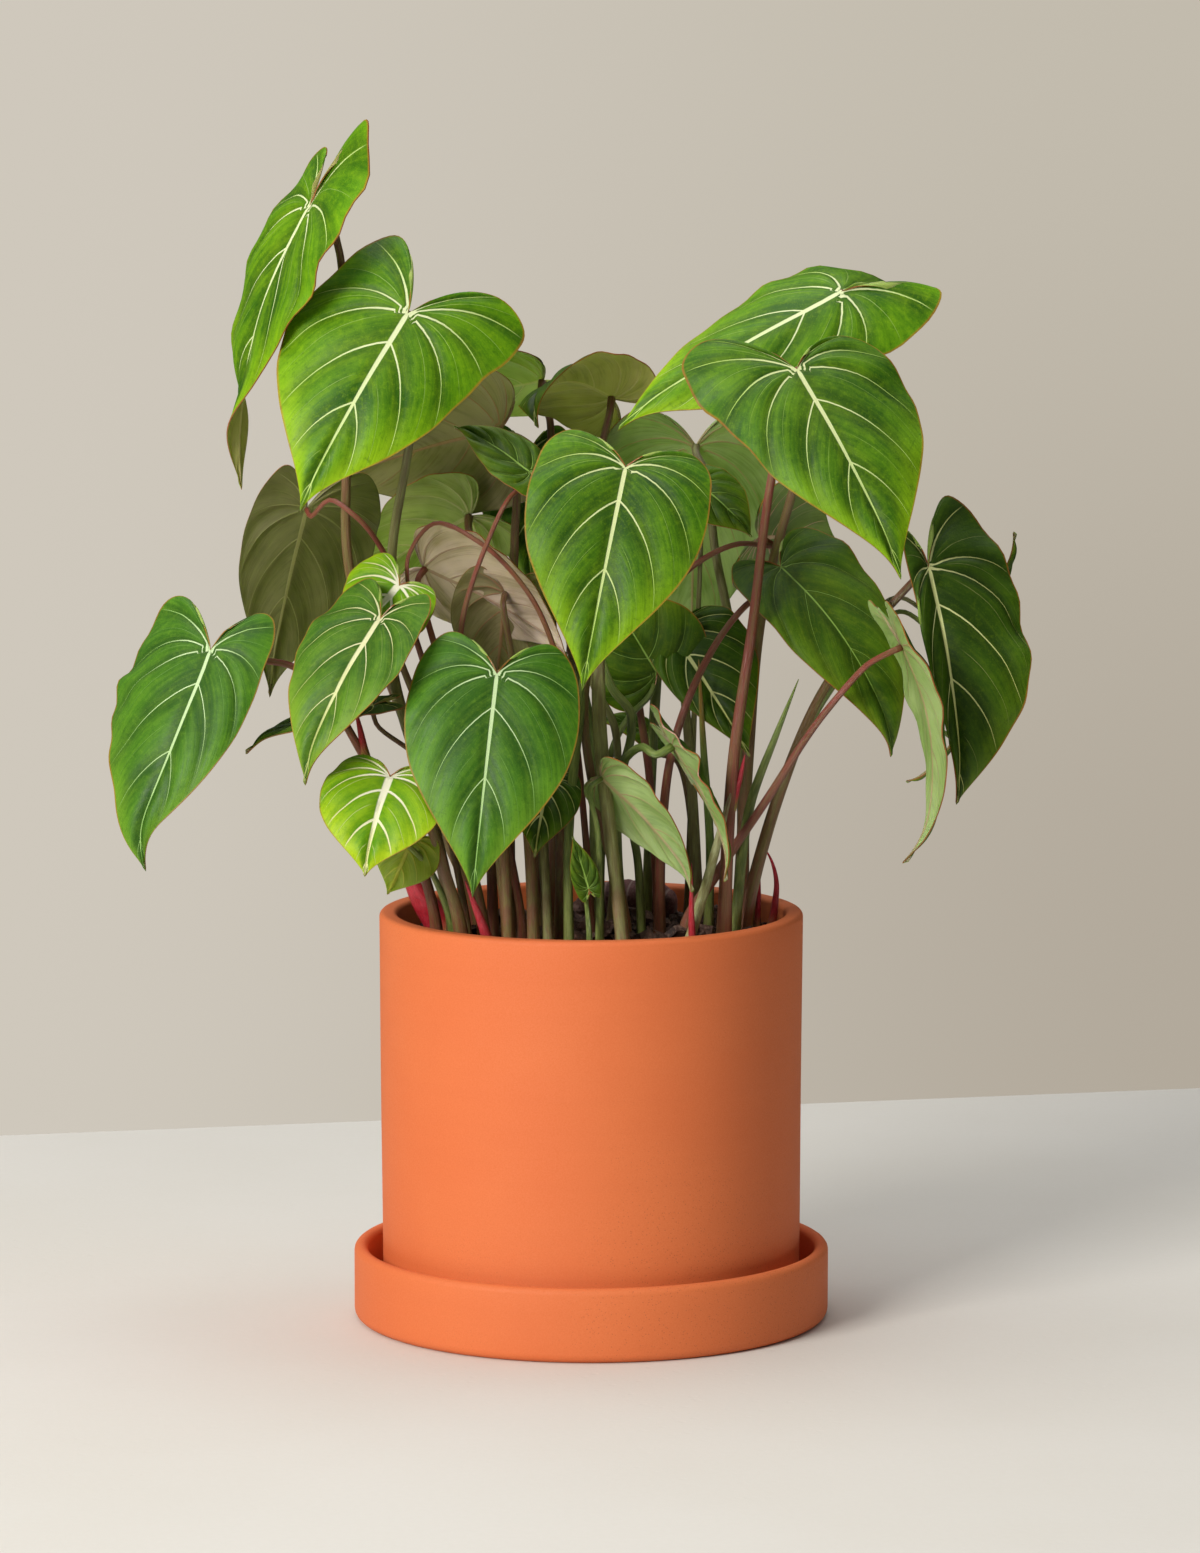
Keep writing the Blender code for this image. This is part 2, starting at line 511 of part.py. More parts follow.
def make_plant():
    """Build the whole object."""
    remove_everything()
    collection = bpy.data.collections.new("potted_philodendron")
    bpy.context.scene.collection.children.link(collection)
    crown = bpy.data.objects.new("crown", None)
    crown.location = (0.0, 0.0, SOIL_TOP)
    collection.objects.link(crown)

    make_saucer(collection, make_material("saucer_terracotta", TERRACOTTA, 0.85))
    make_pot(collection, make_material("pot_terracotta", TERRACOTTA, 0.8))
    make_soil(collection, make_material("soil_bark", SOIL_BROWN, 0.95))

    for number, shape, foot, way in LEAVES:
        blade = Blade(**shape)
        large = shape["width"] > 0.055
        rows = 11 if large else 9
        columns = 6 if large else 4
        name = f"blade_{number:02d}"
        green = make_material(name + "_green", BLADE_COLOURS.get(number, LEAF_GREEN), 0.45)
        make_blade(name, blade, rows, columns, collection, green, crown)
        name = f"stalk_{number:02d}"
        brown = make_material(name + "_brown", STALK_BROWN, 0.5)
        make_stalk(name, blade, foot, way, collection, brown, crown)

    for name, radius, points in SHEATHS:
        make_sheath(name, radius, points, collection, make_material(name + "_red", SHEATH_RED, 0.4),
                    crown)
    make_rod("rhizome", [Vector(point) for point in RHIZOME], RHIZOME_RADII, 2, collection,
             make_material("rhizome_bark", RHIZOME_BROWN, 0.8), crown)


make_plant()
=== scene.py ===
"""The looks of a potted philodendron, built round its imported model.

The plant grows in a straight-sided terracotta pot that stands in its saucer.
Lengths are in metres and +Z is up.  The plant's own places are measured from the
middle of the soil's top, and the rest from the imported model's boxes.
"""
from __future__ import annotations

import logging
import math
from dataclasses import dataclass
from enum import Enum
from typing import Any, Callable, Sequence

import bmesh
import bpy
import numpy as np
from mathutils import Euler, Matrix, Vector

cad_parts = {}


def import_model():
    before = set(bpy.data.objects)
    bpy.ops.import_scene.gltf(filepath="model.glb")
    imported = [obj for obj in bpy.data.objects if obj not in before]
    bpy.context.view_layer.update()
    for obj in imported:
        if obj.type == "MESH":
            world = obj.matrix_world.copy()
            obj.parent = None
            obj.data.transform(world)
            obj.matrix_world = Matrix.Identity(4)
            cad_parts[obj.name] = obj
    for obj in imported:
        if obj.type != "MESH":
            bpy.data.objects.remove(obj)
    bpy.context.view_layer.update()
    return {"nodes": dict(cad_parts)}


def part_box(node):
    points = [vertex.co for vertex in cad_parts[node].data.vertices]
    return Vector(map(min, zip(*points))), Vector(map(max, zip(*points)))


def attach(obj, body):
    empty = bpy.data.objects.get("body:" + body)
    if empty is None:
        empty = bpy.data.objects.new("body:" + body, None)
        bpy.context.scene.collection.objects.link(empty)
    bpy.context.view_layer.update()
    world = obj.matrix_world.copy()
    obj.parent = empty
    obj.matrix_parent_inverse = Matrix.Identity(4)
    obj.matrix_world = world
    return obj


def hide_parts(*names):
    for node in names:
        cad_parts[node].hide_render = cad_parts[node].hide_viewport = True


LOG = logging.getLogger("potted_philodendron")
BODY = "root"

Colour = tuple[float, float, float, float]
Point = tuple[float, float, float]
Placer = Callable[[np.ndarray, np.ndarray], np.ndarray]


def paint(code: str) -> Colour:
    """Turn a six-digit display colour into a linear one.

    Args:
        code: Red, green and blue in hexadecimal.

    Returns:
        The linear colour with an alpha of one.
    """
    parts = [int(code[place:place + 2], 16) / 255.0 for place in (0, 2, 4)]
    line = [c / 12.92 if c <= 0.04045 else ((c + 0.055) / 1.055) ** 2.4 for c in parts]
    return (line[0], line[1], line[2], 1.0)


def ease(value: np.ndarray | float) -> np.ndarray | float:
    """Ease from 0 to 1 with level ends."""
    value = np.clip(value, 0.0, 1.0)
    return value * value * (3.0 - 2.0 * value)


def read_along(values: Sequence[float], place: np.ndarray) -> np.ndarray:
    """Read a list of evenly spaced values smoothly, between them as well.

    Args:
        values: The listed values.
        place: Where to read, in steps from the first value.

    Returns:
        The values there, on a smooth curve through the list.
    """
    listed = np.asarray(values, float)
    place = np.clip(np.asarray(place, float), 0.0, len(listed) - 1.0)
    index = np.minimum(place.astype(int), len(listed) - 2)
    part = place - index
    ends = ([2 * listed[0] - listed[1]], listed, [2 * listed[-1] - listed[-2]])
    padded = np.concatenate(ends)
    a, b, c, d = (padded[index + step] for step in range(4))
    bend, turn = 2 * a - 5 * b + 4 * c - d, 3 * (b - c) + d - a
    return b + 0.5 * part * (c - a + part * (bend + part * turn))


def paints(codes: str) -> list[Colour]:
    """Turn several display colours, parted by spaces, into linear ones."""
    return [paint(code) for code in codes.split()]


# --- Modelling ------------------------------------------------------------------


def clear_choice() -> None:
    """Deselect every object."""
    bpy.ops.object.select_all(action="DESELECT")


def choose(obj: bpy.types.Object) -> None:
    """Make one object the only selected and active one."""
    clear_choice()
    obj.select_set(True)
    bpy.context.view_layer.objects.active = obj


def apply_modifiers(obj: bpy.types.Object) -> None:
    """Apply every modifier of an object in order."""
    choose(obj)
    for modifier in list(obj.modifiers):
        bpy.ops.object.modifier_apply(modifier=modifier.name)


def edit_all(obj: bpy.types.Object, work: Callable[..., Any], **settings: Any) -> None:
    """Run one editing tool on every vertex, edge and face of an object.

    Args:
        obj: The piece.
        work: The tool.
        settings: What the tool is given.
    """
    choose(obj)
    bpy.ops.object.mode_set(mode="EDIT")
    bpy.ops.mesh.select_all(action="SELECT")
    work(**settings)
    bpy.ops.object.mode_set(mode="OBJECT")


def shares(obj: bpy.types.Object) -> tuple[np.ndarray, np.ndarray]:
    """Give how far along each vertex of a new grid is, lengthways and sideways."""
    flat = np.empty(len(obj.data.vertices) * 3)
    obj.data.vertices.foreach_get("co", flat)
    flat = flat.reshape(-1, 3)
    return np.clip(flat[:, 0] + 0.5, 0, 1), np.clip(flat[:, 1] + 0.5, 0, 1)


def lay_grid(name: str, rows: int, columns: int, place: Placer) -> bpy.types.Object:
    """Add a grid and lay it over a surface.

    Args:
        name: The name of the new piece.
        rows: How many faces it has lengthways.
        columns: How many faces it has sideways.
        place: Gives the points for shares of the length and of the breadth.

    Returns:
        The new object, at the origin.
    """
    clear_choice()
    bpy.ops.mesh.primitive_grid_add(x_subdivisions=rows, y_subdivisions=columns, size=1.0,
                                    location=(0, 0, 0))
    obj = bpy.context.object
    obj.name = obj.data.name = name
    points = place(*shares(obj))
    obj.data.vertices.foreach_set("co", points.astype(np.float32).ravel())
    obj.data.update()
    return obj


def close_surface(obj: bpy.types.Object, gap: float = 0.000004, caps: bool = False) -> None:
    """Merge the seams and poles of a laid grid and point its faces outwards.

    Args:
        obj: The piece.
        gap: Vertices nearer than this are merged.
        caps: Whether open ends are filled as well.
    """
    edit_all(obj, bpy.ops.mesh.remove_doubles, threshold=gap)
    if caps:
        edit_all(obj, bpy.ops.mesh.fill_holes, sides=0)
    edit_all(obj, bpy.ops.mesh.normals_make_consistent, inside=False)
    bpy.ops.object.shade_smooth()


def write_attribute(obj: bpy.types.Object, name: str, values: np.ndarray) -> None:
    """Store three numbers on each vertex for the material to read.

    Args:
        obj: The piece.
        name: The attribute's name.
        values: One row of three for each vertex.
    """
    layer = obj.data.attributes.new(name, "FLOAT_VECTOR", "POINT")
    layer.data.foreach_set("vector", values.astype(np.float32).ravel())


def soften(obj: bpy.types.Object, angle: float = 35.0) -> None:
    """Shade smooth except over edges sharper than an angle in degrees."""
    choose(obj)
    bpy.ops.object.shade_smooth_by_angle(angle=math.radians(angle))


def hand_over(obj: bpy.types.Object, slot: str, nodes: Sequence[str] = ()) -> None:
    """Let a finished piece ride on the body and stand for its CAD nodes.

    Args:
        obj: The finished piece.
        slot: The record's material slot.
        nodes: The CAD nodes that it stands for.
    """
    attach(obj, BODY)
    if nodes:
        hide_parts(*nodes)
    LOG.info("%s: %d faces, slot %s", obj.name, len(obj.data.polygons), slot)


# --- Materials --------------------------------------------------------------------


class Wiring:
    """Adds the nodes of one node tree and joins them."""

    def __init__(self, tree: bpy.types.NodeTree) -> None:
        """Start on a tree."""
        self.tree = tree

    def join(self, value: Any, socket: bpy.types.NodeSocket) -> None:
        """Link a socket to an input, or set the input to a number or a colour."""
        if isinstance(value, bpy.types.NodeSocket):
            self.tree.links.new(value, socket)
        else:
            socket.default_value = value

    def node(self, kind: str, inputs: dict[Any, Any] | None = None,
             **settings: Any) -> bpy.types.Node:
        """Add a node.

        Args:
            kind: The node's type, without its prefix.
            inputs: Values or sockets for its inputs, by name or number.
            settings: Properties of the node.

        Returns:
            The new node.
        """
        made = self.tree.nodes.new("ShaderNode" + kind)
        for key, value in settings.items():
            setattr(made, key, value)
        for key, value in (inputs or {}).items():
            self.join(value, made.inputs[key])
        return made

    def math(self, operation: str, first: Any, second: Any = 0.0, third: Any = 0.0,
             clamp: bool = False) -> bpy.types.NodeSocket:
        """Add a Math node and give its result."""
        made = self.node("Math", {0: first, 1: second, 2: third}, operation=operation,
                         use_clamp=clamp)
        return made.outputs[0]

    def times(self, first: Any, second: Any) -> bpy.types.NodeSocket:
        """Multiply two numbers."""
        return self.math("MULTIPLY", first, second)

    def times_plus(self, first: Any, second: Any, third: Any) -> bpy.types.NodeSocket:
        """Multiply two numbers and add a third."""
        return self.math("MULTIPLY_ADD", first, second, third)

    def mix(self, share: Any, first: Any, second: Any,
            blend: str = "MIX") -> bpy.types.NodeSocket:
        """Mix two colours and give the result."""
        made = self.node("Mix", data_type="RGBA", blend_type=blend, clamp_factor=True)
        for value, place in ((share, 0), (first, 6), (second, 7)):
            self.join(value, made.inputs[place])
        return made.outputs[2]

    def tint(self, tone: Any, colour: Any, share: Any, most: float) -> bpy.types.NodeSocket:
        """Mix a colour into a tone, by at most a part of the share."""
        return self.mix(self.times(share, most), tone, colour)

    def ramp(self, value: Any, start: Any, end: Any, low: Any = 0.0,
             high: Any = 1.0) -> bpy.types.NodeSocket:
        """Ease from low to high as the value goes from start to end."""
        made = self.node("MapRange", {"Value": value, "From Min": start, "From Max": end,
                                      "To Min": low, "To Max": high},
                         interpolation_type="SMOOTHSTEP")
        return made.outputs[0]

    def noise(self, vector: Any, scale: float, detail: float = 3.0,
              rough: float = 0.55) -> bpy.types.NodeSocket:
        """Add a noise texture and give its value."""
        made = self.node("TexNoise", {"Vector": vector, "Scale": scale, "Detail": detail,
                                      "Roughness": rough})
        return made.outputs["Fac"]

    def vector(self, x: Any, y: Any, z: Any) -> bpy.types.NodeSocket:
        """Join three numbers into a vector."""
        return self.node("CombineXYZ", {0: x, 1: y, 2: z}).outputs[0]

    def split(self, vector: Any) -> list[bpy.types.NodeSocket]:
        """Part a vector into its three numbers."""
        return list(self.node("SeparateXYZ", {0: vector}).outputs)

    def attribute(self, name: str) -> bpy.types.NodeSocket:
        """Read a vector that the piece's vertices carry."""
        return self.node("Attribute", attribute_name=name).outputs["Vector"]

    def position(self) -> bpy.types.NodeSocket:
        """Read the place on the piece."""
        return self.node("TexCoord").outputs["Object"]

    def group(self, tree: bpy.types.NodeTree,
              inputs: dict[str, Any]) -> bpy.types.NodeSocketStandard:
        """Place a node group and give its outputs."""
        made = self.tree.nodes.new("ShaderNodeGroup")
        made.node_tree = tree
        for key, value in inputs.items():
            self.join(value, made.inputs[key])
        return made.outputs


def new_group(name: str, inputs: Sequence[tuple[str, str, Any]],
              outputs: Sequence[tuple[str, str]]) -> tuple[bpy.types.NodeTree, Wiring, Any, Any]:
    """Start a shader node group.

    Args:
        name: The group's name.
        inputs: Name, kind (Float, Vector or Color) and value of each input.
        outputs: Name and kind of each output.

    Returns:
        The tree, its wiring, the inside of its inputs and of its outputs.
    """
    tree = bpy.data.node_groups.new(name, "ShaderNodeTree")
    for label, kind, value in inputs:
        made = tree.interface.new_socket(label, in_out="INPUT", socket_type="NodeSocket" + kind)
        if value is not None:
            made.default_value = value
    for label, kind in outputs:
        tree.interface.new_socket(label, in_out="OUTPUT", socket_type="NodeSocket" + kind)
    start = tree.nodes.new("NodeGroupInput")
    end = tree.nodes.new("NodeGroupOutput")
    return tree, Wiring(tree), start.outputs, end.inputs


class Effects:
    """The shader node groups that several finishes share, each built once."""

    def __init__(self) -> None:
        """Build the groups."""
        self.veins = self.build_veins()
        self.streaks = self.build_streaks()
        self.mineral = self.build_mineral()

    @staticmethod
    def build_veins() -> bpy.types.NodeTree:
        """Veins, midrib, margin and the fine lines between the veins of a blade, and a
        painted-shade mask that is dark along the sunken veins and midrib and light between them.

        Returns:
            The group: its masks run from 0 to 1.
        """
        tree, w, given, out = new_group(
            "leaf_veins",
            (("Place", "Vector", None), ("Vein", "Vector", None), ("Side Width", "Float", 0.0006),
             ("Midrib Width", "Float", 0.0014), ("Reach", "Float", 0.96)),
            (("Vein", "Float"), ("Minor", "Float"), ("Margin", "Float"), ("Lines", "Float"),
             ("Outward", "Float"), ("Forward", "Float"), ("Groove Shading", "Float"),
             ("Height", "Float")))
        forward, aside, outward = w.split(given["Place"])
        lane, spacing, seed = w.split(given["Vein"])
        wander = w.noise(w.vector(w.times(lane, 1.3), w.times(outward, 2.6),
                                  seed), 1.0, 1.0)
        sway = w.math("DIVIDE", 0.0011, w.math("MAXIMUM", spacing, 0.006))
        lane_bent = w.times_plus(w.math("SUBTRACT", wander, 0.5), sway, lane)
        near = w.times(w.math("PINGPONG", lane_bent, 0.5), spacing)
        width = w.times(given["Side Width"], w.ramp(outward, 0.0, 0.95, 1.0, 0.42))
        side = w.ramp(near, w.times(width, 1.25), w.times(width, 0.6))
        reach = given["Reach"]
        fade = w.ramp(outward, w.math("SUBTRACT", reach, 0.14), w.math("ADD", reach, 0.05),
                      1.0, 0.0)
        side = w.times(side, fade)
        thick = w.times(given["Midrib Width"], w.ramp(forward, 0.0, 1.0, 1.0, 0.26))
        thick = w.times(thick, w.ramp(forward, -0.02, 0.03, 0.35, 1.0))
        rib = w.ramp(aside, w.times(thick, 1.12), w.times(thick, 0.72))
        rib = w.times(rib, w.ramp(forward, 0.95, 1.0, 1.0, 0.3))
        vein = w.math("MAXIMUM", side, rib)
        between = w.math("ADD", lane_bent, 0.5)
        thin = w.times(w.math("PINGPONG", between, 0.5), spacing)
        minor = w.ramp(thin, w.times(width, 0.55), w.times(width, 0.2))
        minor = w.times(minor, w.ramp(outward, 0.12, 0.3))
        minor = w.times(minor, fade)
        lines = w.noise(w.vector(w.times(lane, 11.0), w.times(outward, 2.2),
                                 seed), 1.0, 4.0, 0.65)
        # Painted shade: dark in the sunken grooves along the veins and the midrib, light on the
        # puffed parts between them.
        groove_shading = w.times(w.math("PINGPONG", lane_bent, 0.5), 2.0)
        groove_shading = w.times(w.ramp(groove_shading, 0.0, 0.75), w.ramp(aside, 0.001, 0.006))
        margin = w.ramp(outward, 0.972, 0.992)
        height = w.times_plus(vein, -0.55, w.times(lines, 0.5))
        height = w.times_plus(minor, -0.2, height)
        for label, value in (("Vein", vein), ("Minor", minor), ("Margin", margin),
                             ("Lines", lines), ("Outward", outward), ("Forward", forward),
                             ("Groove Shading", groove_shading), ("Height", height)):
            w.join(value, out[label])
        return tree

    @staticmethod
    def build_streaks() -> bpy.types.NodeTree:
        """Long streaks that run along a stalk, and the fine ribs beside them.

        Returns:
            The group.
        """
        tree, w, given, out = new_group(
            "stalk_streaks",
            (("Round", "Vector", None), ("Seed", "Vector", None), ("Grain", "Float", 6.5)),
            (("Broad", "Float"), ("Fine", "Float"), ("Dots", "Float"), ("Along", "Float")))
        x, y, along = w.split(given["Round"])
        seed = w.split(given["Seed"])[0]
        long = w.times_plus(along, 9.0, seed)
        broad = w.noise(w.vector(x, y, long), 1.4, 3.0, 0.6)
        many = w.vector(w.times(x, given["Grain"]), w.times(y, given["Grain"]),
                        w.times(long, 1.5))
        fine = w.noise(many, 1.6, 3.0, 0.6)
        spots = w.noise(w.vector(w.times(x, 5.0), w.times(y, 5.0),
                                 w.times(along, 420.0)), 1.5, 1.0)
        w.join(w.ramp(broad, 0.38, 0.64), out["Broad"])
        w.join(w.ramp(fine, 0.35, 0.65), out["Fine"])
        w.join(w.ramp(spots, 0.66, 0.74), out["Dots"])
        w.join(along, out["Along"])
        return tree

    @staticmethod
    def build_mineral() -> bpy.types.NodeTree:
        """Cloudiness, grain and pits of fired clay, soil and bark.

        Returns:
            The group.
        """
        tree, w, given, out = new_group(
            "mineral_grain", (("Position", "Vector", None), ("Cloud Scale", "Float", 9.0),
                              ("Grain Scale", "Float", 900.0)),
            (("Cloud", "Float"), ("Grain", "Float"), ("Pits", "Float"), ("Height", "Float")))
        cloud = w.node("TexNoise", {"Vector": given["Position"], "Scale": given["Cloud Scale"],
                                    "Detail": 4.0, "Roughness": 0.55}).outputs["Fac"]
        grain = w.node("TexNoise", {"Vector": given["Position"], "Scale": given["Grain Scale"],
                                    "Detail": 3.0, "Roughness": 0.7}).outputs["Fac"]
        cells = w.node("TexVoronoi", {"Vector": given["Position"],
                                      "Scale": w.times(given["Grain Scale"], 0.42)})
        pits = w.ramp(cells.outputs["Distance"], 0.10, 0.24, 1.0, 0.0)
        pits = w.times(pits, w.ramp(cloud, 0.45, 0.62))
        height = w.math("SUBTRACT", grain, w.times(pits, 0.7))
        for label, value in (("Cloud", w.ramp(cloud, 0.3, 0.7)),
                             ("Grain", w.ramp(grain, 0.3, 0.7)), ("Pits", pits),
                             ("Height", height)):
            w.join(value, out[label])
        return tree


def start_material(name: str, roughness: float, **sockets: Any) -> tuple[
        bpy.types.Material, Wiring, bpy.types.Node]:
    """Start a material round its Principled BSDF.

    Args:
        name: The material's name.
        roughness: The roughness until something is joined to it.
        sockets: Further constant values, with _ for a space in a socket's name.

    Returns:
        The material, its wiring and its shader.
    """
    material = bpy.data.materials.new(name)
    material.use_nodes = True
    shader = material.node_tree.nodes["Principled BSDF"]
    shader.inputs["Roughness"].default_value = roughness
    shader.inputs["Metallic"].default_value = 0.0
    for key, value in sockets.items():
        shader.inputs[key.replace("_", " ")].default_value = value
    return material, Wiring(material.node_tree), shader


def add_bump(w: Wiring, shader: bpy.types.Node, height: Any, depth: float,
             strength: float = 1.0) -> None:
    """Feed a height to the shader's normal.

    Args:
        w: The material's wiring.
        shader: The Principled BSDF.
        height: The height from 0 to 1.
        depth: How deep 1 is, in metres.
        strength: How much of the effect is kept.
    """
    bump = w.node("Bump", {"Height": height, "Distance": depth, "Strength": strength})
    w.join(bump.outputs["Normal"], shader.inputs["Normal"])


@dataclass(frozen=True)
class ClayFinish:
    """Matte unglazed terracotta."""

    name: str = "terracotta"
    body: Colour = paint("DE7038")
    pale: Colour = paint("E67E44")
    burnt: Colour = paint("CA5E2E")
    speck: Colour = paint("A84A26")

    def build(self, effects: Effects) -> bpy.types.Material:
        """Make the material."""
        material, w, shader = start_material(self.name, 0.7, Specular_IOR_Level=0.6)
        where = w.position()
        clay = w.group(effects.mineral, {"Position": where, "Cloud Scale": 7.0,
                                         "Grain Scale": 1500.0})
        x, y, z = w.split(where)
        turned = w.noise(w.vector(w.times(x, 2.0), w.times(y, 2.0),
                                  w.times(z, 150.0)), 1.0, 3.0, 0.6)
        tone = w.mix(w.times(clay["Cloud"], 0.55), self.body, self.pale)
        tone = w.tint(tone, self.burnt, w.ramp(turned, 0.35, 0.7), 0.05)
        tone = w.tint(tone, self.burnt, clay["Grain"], 0.16)
        tone = w.tint(tone, self.speck, clay["Pits"], 0.45)
        w.join(tone, shader.inputs["Base Color"])
        w.join(w.ramp(clay["Grain"], 0.0, 1.0, 0.64, 0.8), shader.inputs["Roughness"])
        height = w.times_plus(turned, 0.08, clay["Height"])
        add_bump(w, shader, height, 0.00012, 0.7)
        return material


@dataclass(frozen=True)
class BladeFinish:
    """The upper side of a leaf blade."""

    name: str
    deep: Colour
    fresh: Colour
    lime: Colour
    vein: Colour
    vein_end: Colour
    margin: Colour = paint("B4622E")
    yellowing: float = 0.6
    side_width: float = 0.00062
    midrib_width: float = 0.0015

    def build(self, effects: Effects) -> bpy.types.Material:
        """Make the material."""
        material, w, shader = start_material(self.name, 0.46, Specular_IOR_Level=0.2)
        where = w.position()
        leaf = w.group(effects.veins, {
            "Place": w.attribute("leaf_place"), "Vein": w.attribute("leaf_vein"),
            "Side Width": self.side_width, "Midrib Width": self.midrib_width})
        outward, forward = leaf["Outward"], leaf["Forward"]
        cloud = w.noise(where, 42.0, 3.0, 0.6)
        rise = w.times_plus(w.math("POWER", outward, 1.6), 0.5,
                      w.times(w.ramp(forward, 0.1, 1.0), 0.28))
        rise = w.times_plus(w.math("SUBTRACT", cloud, 0.5), 1.1, rise)
        # Painted shade: darker along the sunken veins and midrib, lighter on the puffed parts
        # between them.
        rise = w.times_plus(leaf["Groove Shading"], 0.55, rise)
        tone = w.mix(w.math("SUBTRACT", rise, 0.26, clamp=True), self.deep, self.fresh)
        edge = w.times(w.ramp(outward, 0.45, 1.0), w.ramp(forward, 0.15, 0.95))
        edge = w.times(w.times_plus(cloud, 0.6, edge), self.yellowing)
        tone = w.mix(w.math("SUBTRACT", edge, 0.12, clamp=True), tone, self.lime)
        tone = w.tint(tone, self.lime, w.ramp(leaf["Lines"], 0.42, 0.68), 0.15)
        tone = w.tint(tone, self.deep, w.ramp(leaf["Lines"], 0.52, 0.3), 0.28)
        mottle = w.noise(where, 330.0, 4.0, 0.7)
        tone = w.mix(w.ramp(mottle, 0.5, 0.72, 0.0, 0.18), tone, self.lime)
        tone = w.mix(w.ramp(mottle, 0.48, 0.28, 0.0, 0.42), tone, self.deep)
        speck = w.ramp(w.noise(where, 1500.0, 1.0), 0.62, 0.72)
        tone = w.tint(tone, self.lime, speck, 0.16)
        tone = w.tint(tone, self.vein_end, leaf["Minor"], 0.36)
        reach = w.ramp(w.math("MAXIMUM", outward, w.times(forward, 0.8)), 0.1, 0.8)
        cream = w.mix(reach, self.vein, self.vein_end)
        tone = w.tint(tone, cream, leaf["Vein"], 0.95)
        tone = w.tint(tone, self.margin, leaf["Margin"], 0.5)
        w.join(tone, shader.inputs["Base Color"])
        w.join(w.ramp(leaf["Lines"], 0.3, 0.7, 0.42, 0.54), shader.inputs["Roughness"])
        grain = w.times_plus(w.noise(where, 900.0, 2.0), 0.28, leaf["Height"])
        add_bump(w, shader, grain, 0.00042, 0.85)
        return material


@dataclass(frozen=True)
class UndersideFinish:
    """The dull lower side of a leaf blade."""

    name: str
    body: Colour
    pale: Colour
    vein: Colour
    vein_strength: float = 0.6
    side_width: float = 0.00048
    midrib_width: float = 0.0011

    def build(self, effects: Effects) -> bpy.types.Material:
        """Make the material."""
        material, w, shader = start_material(self.name, 0.55, Specular_IOR_Level=0.3,
                                             Subsurface_Weight=0.65, Subsurface_Scale=0.003,
                                             Subsurface_Radius=(0.8, 1.0, 0.45))
        where = w.position()
        leaf = w.group(effects.veins, {
            "Place": w.attribute("leaf_place"), "Vein": w.attribute("leaf_vein"),
            "Side Width": self.side_width, "Midrib Width": self.midrib_width, "Reach": 0.95})
        cloud = w.noise(where, 30.0, 3.0, 0.6)
        tone = w.mix(w.ramp(cloud, 0.32, 0.68), self.body, self.pale)
        tone = w.tint(tone, self.pale, w.ramp(leaf["Lines"], 0.4, 0.62), 0.35)
        dark = w.mix(1.0, self.body, (0.62, 0.6, 0.58, 1.0), "MULTIPLY")
        tone = w.tint(tone, dark, w.ramp(leaf["Lines"], 0.5, 0.32), 0.3)
        tone = w.tint(tone, self.vein, leaf["Minor"], 0.3)
        tone = w.tint(tone, self.vein, leaf["Vein"], self.vein_strength)
        tone = w.tint(tone, dark, leaf["Margin"], 0.5)
        w.join(tone, shader.inputs["Base Color"])
        w.join(w.ramp(leaf["Lines"], 0.3, 0.7, 0.48, 0.62), shader.inputs["Roughness"])
        height = w.times_plus(leaf["Height"], -1.0, 1.0)
        add_bump(w, shader, height, 0.0005, 0.9)
        return material


@dataclass(frozen=True)
class StalkFinish:
    """The skin of a leaf stalk, from its foot to the blade."""

    name: str
    foot: Colour
    middle: Colour
    neck: Colour
    streak: Colour
    streaks: float = 0.5

    def build(self, effects: Effects) -> bpy.types.Material:
        """Make the material."""
        material, w, shader = start_material(self.name, 0.34, Specular_IOR_Level=0.5)
        skin = w.group(effects.streaks, {"Round": w.attribute("stalk_round"),
                                         "Seed": w.attribute("stalk_seed")})
        along = skin["Along"]
        tone = w.mix(w.ramp(along, 0.02, 0.32), self.foot, self.middle)
        tone = w.mix(w.ramp(along, 0.62, 0.97), tone, self.neck)
        streak = w.times(skin["Broad"], self.streaks)
        tone = w.mix(streak, tone, self.streak)
        dark = w.mix(1.0, tone, (0.6, 0.52, 0.5, 1.0), "MULTIPLY")
        tone = w.tint(tone, dark, skin["Fine"], 0.62)
        pale = w.mix(1.0, tone, (1.5, 1.45, 1.35, 1.0), "MULTIPLY")
        tone = w.tint(tone, pale, skin["Dots"], 0.5)
        w.join(tone, shader.inputs["Base Color"])
        w.join(w.ramp(skin["Fine"], 0.0, 1.0, 0.28, 0.42), shader.inputs["Roughness"])
        height = w.times_plus(skin["Dots"], 0.4, w.times(skin["Fine"], 0.6))
        add_bump(w, shader, height, 0.00025, 0.8)
        return material


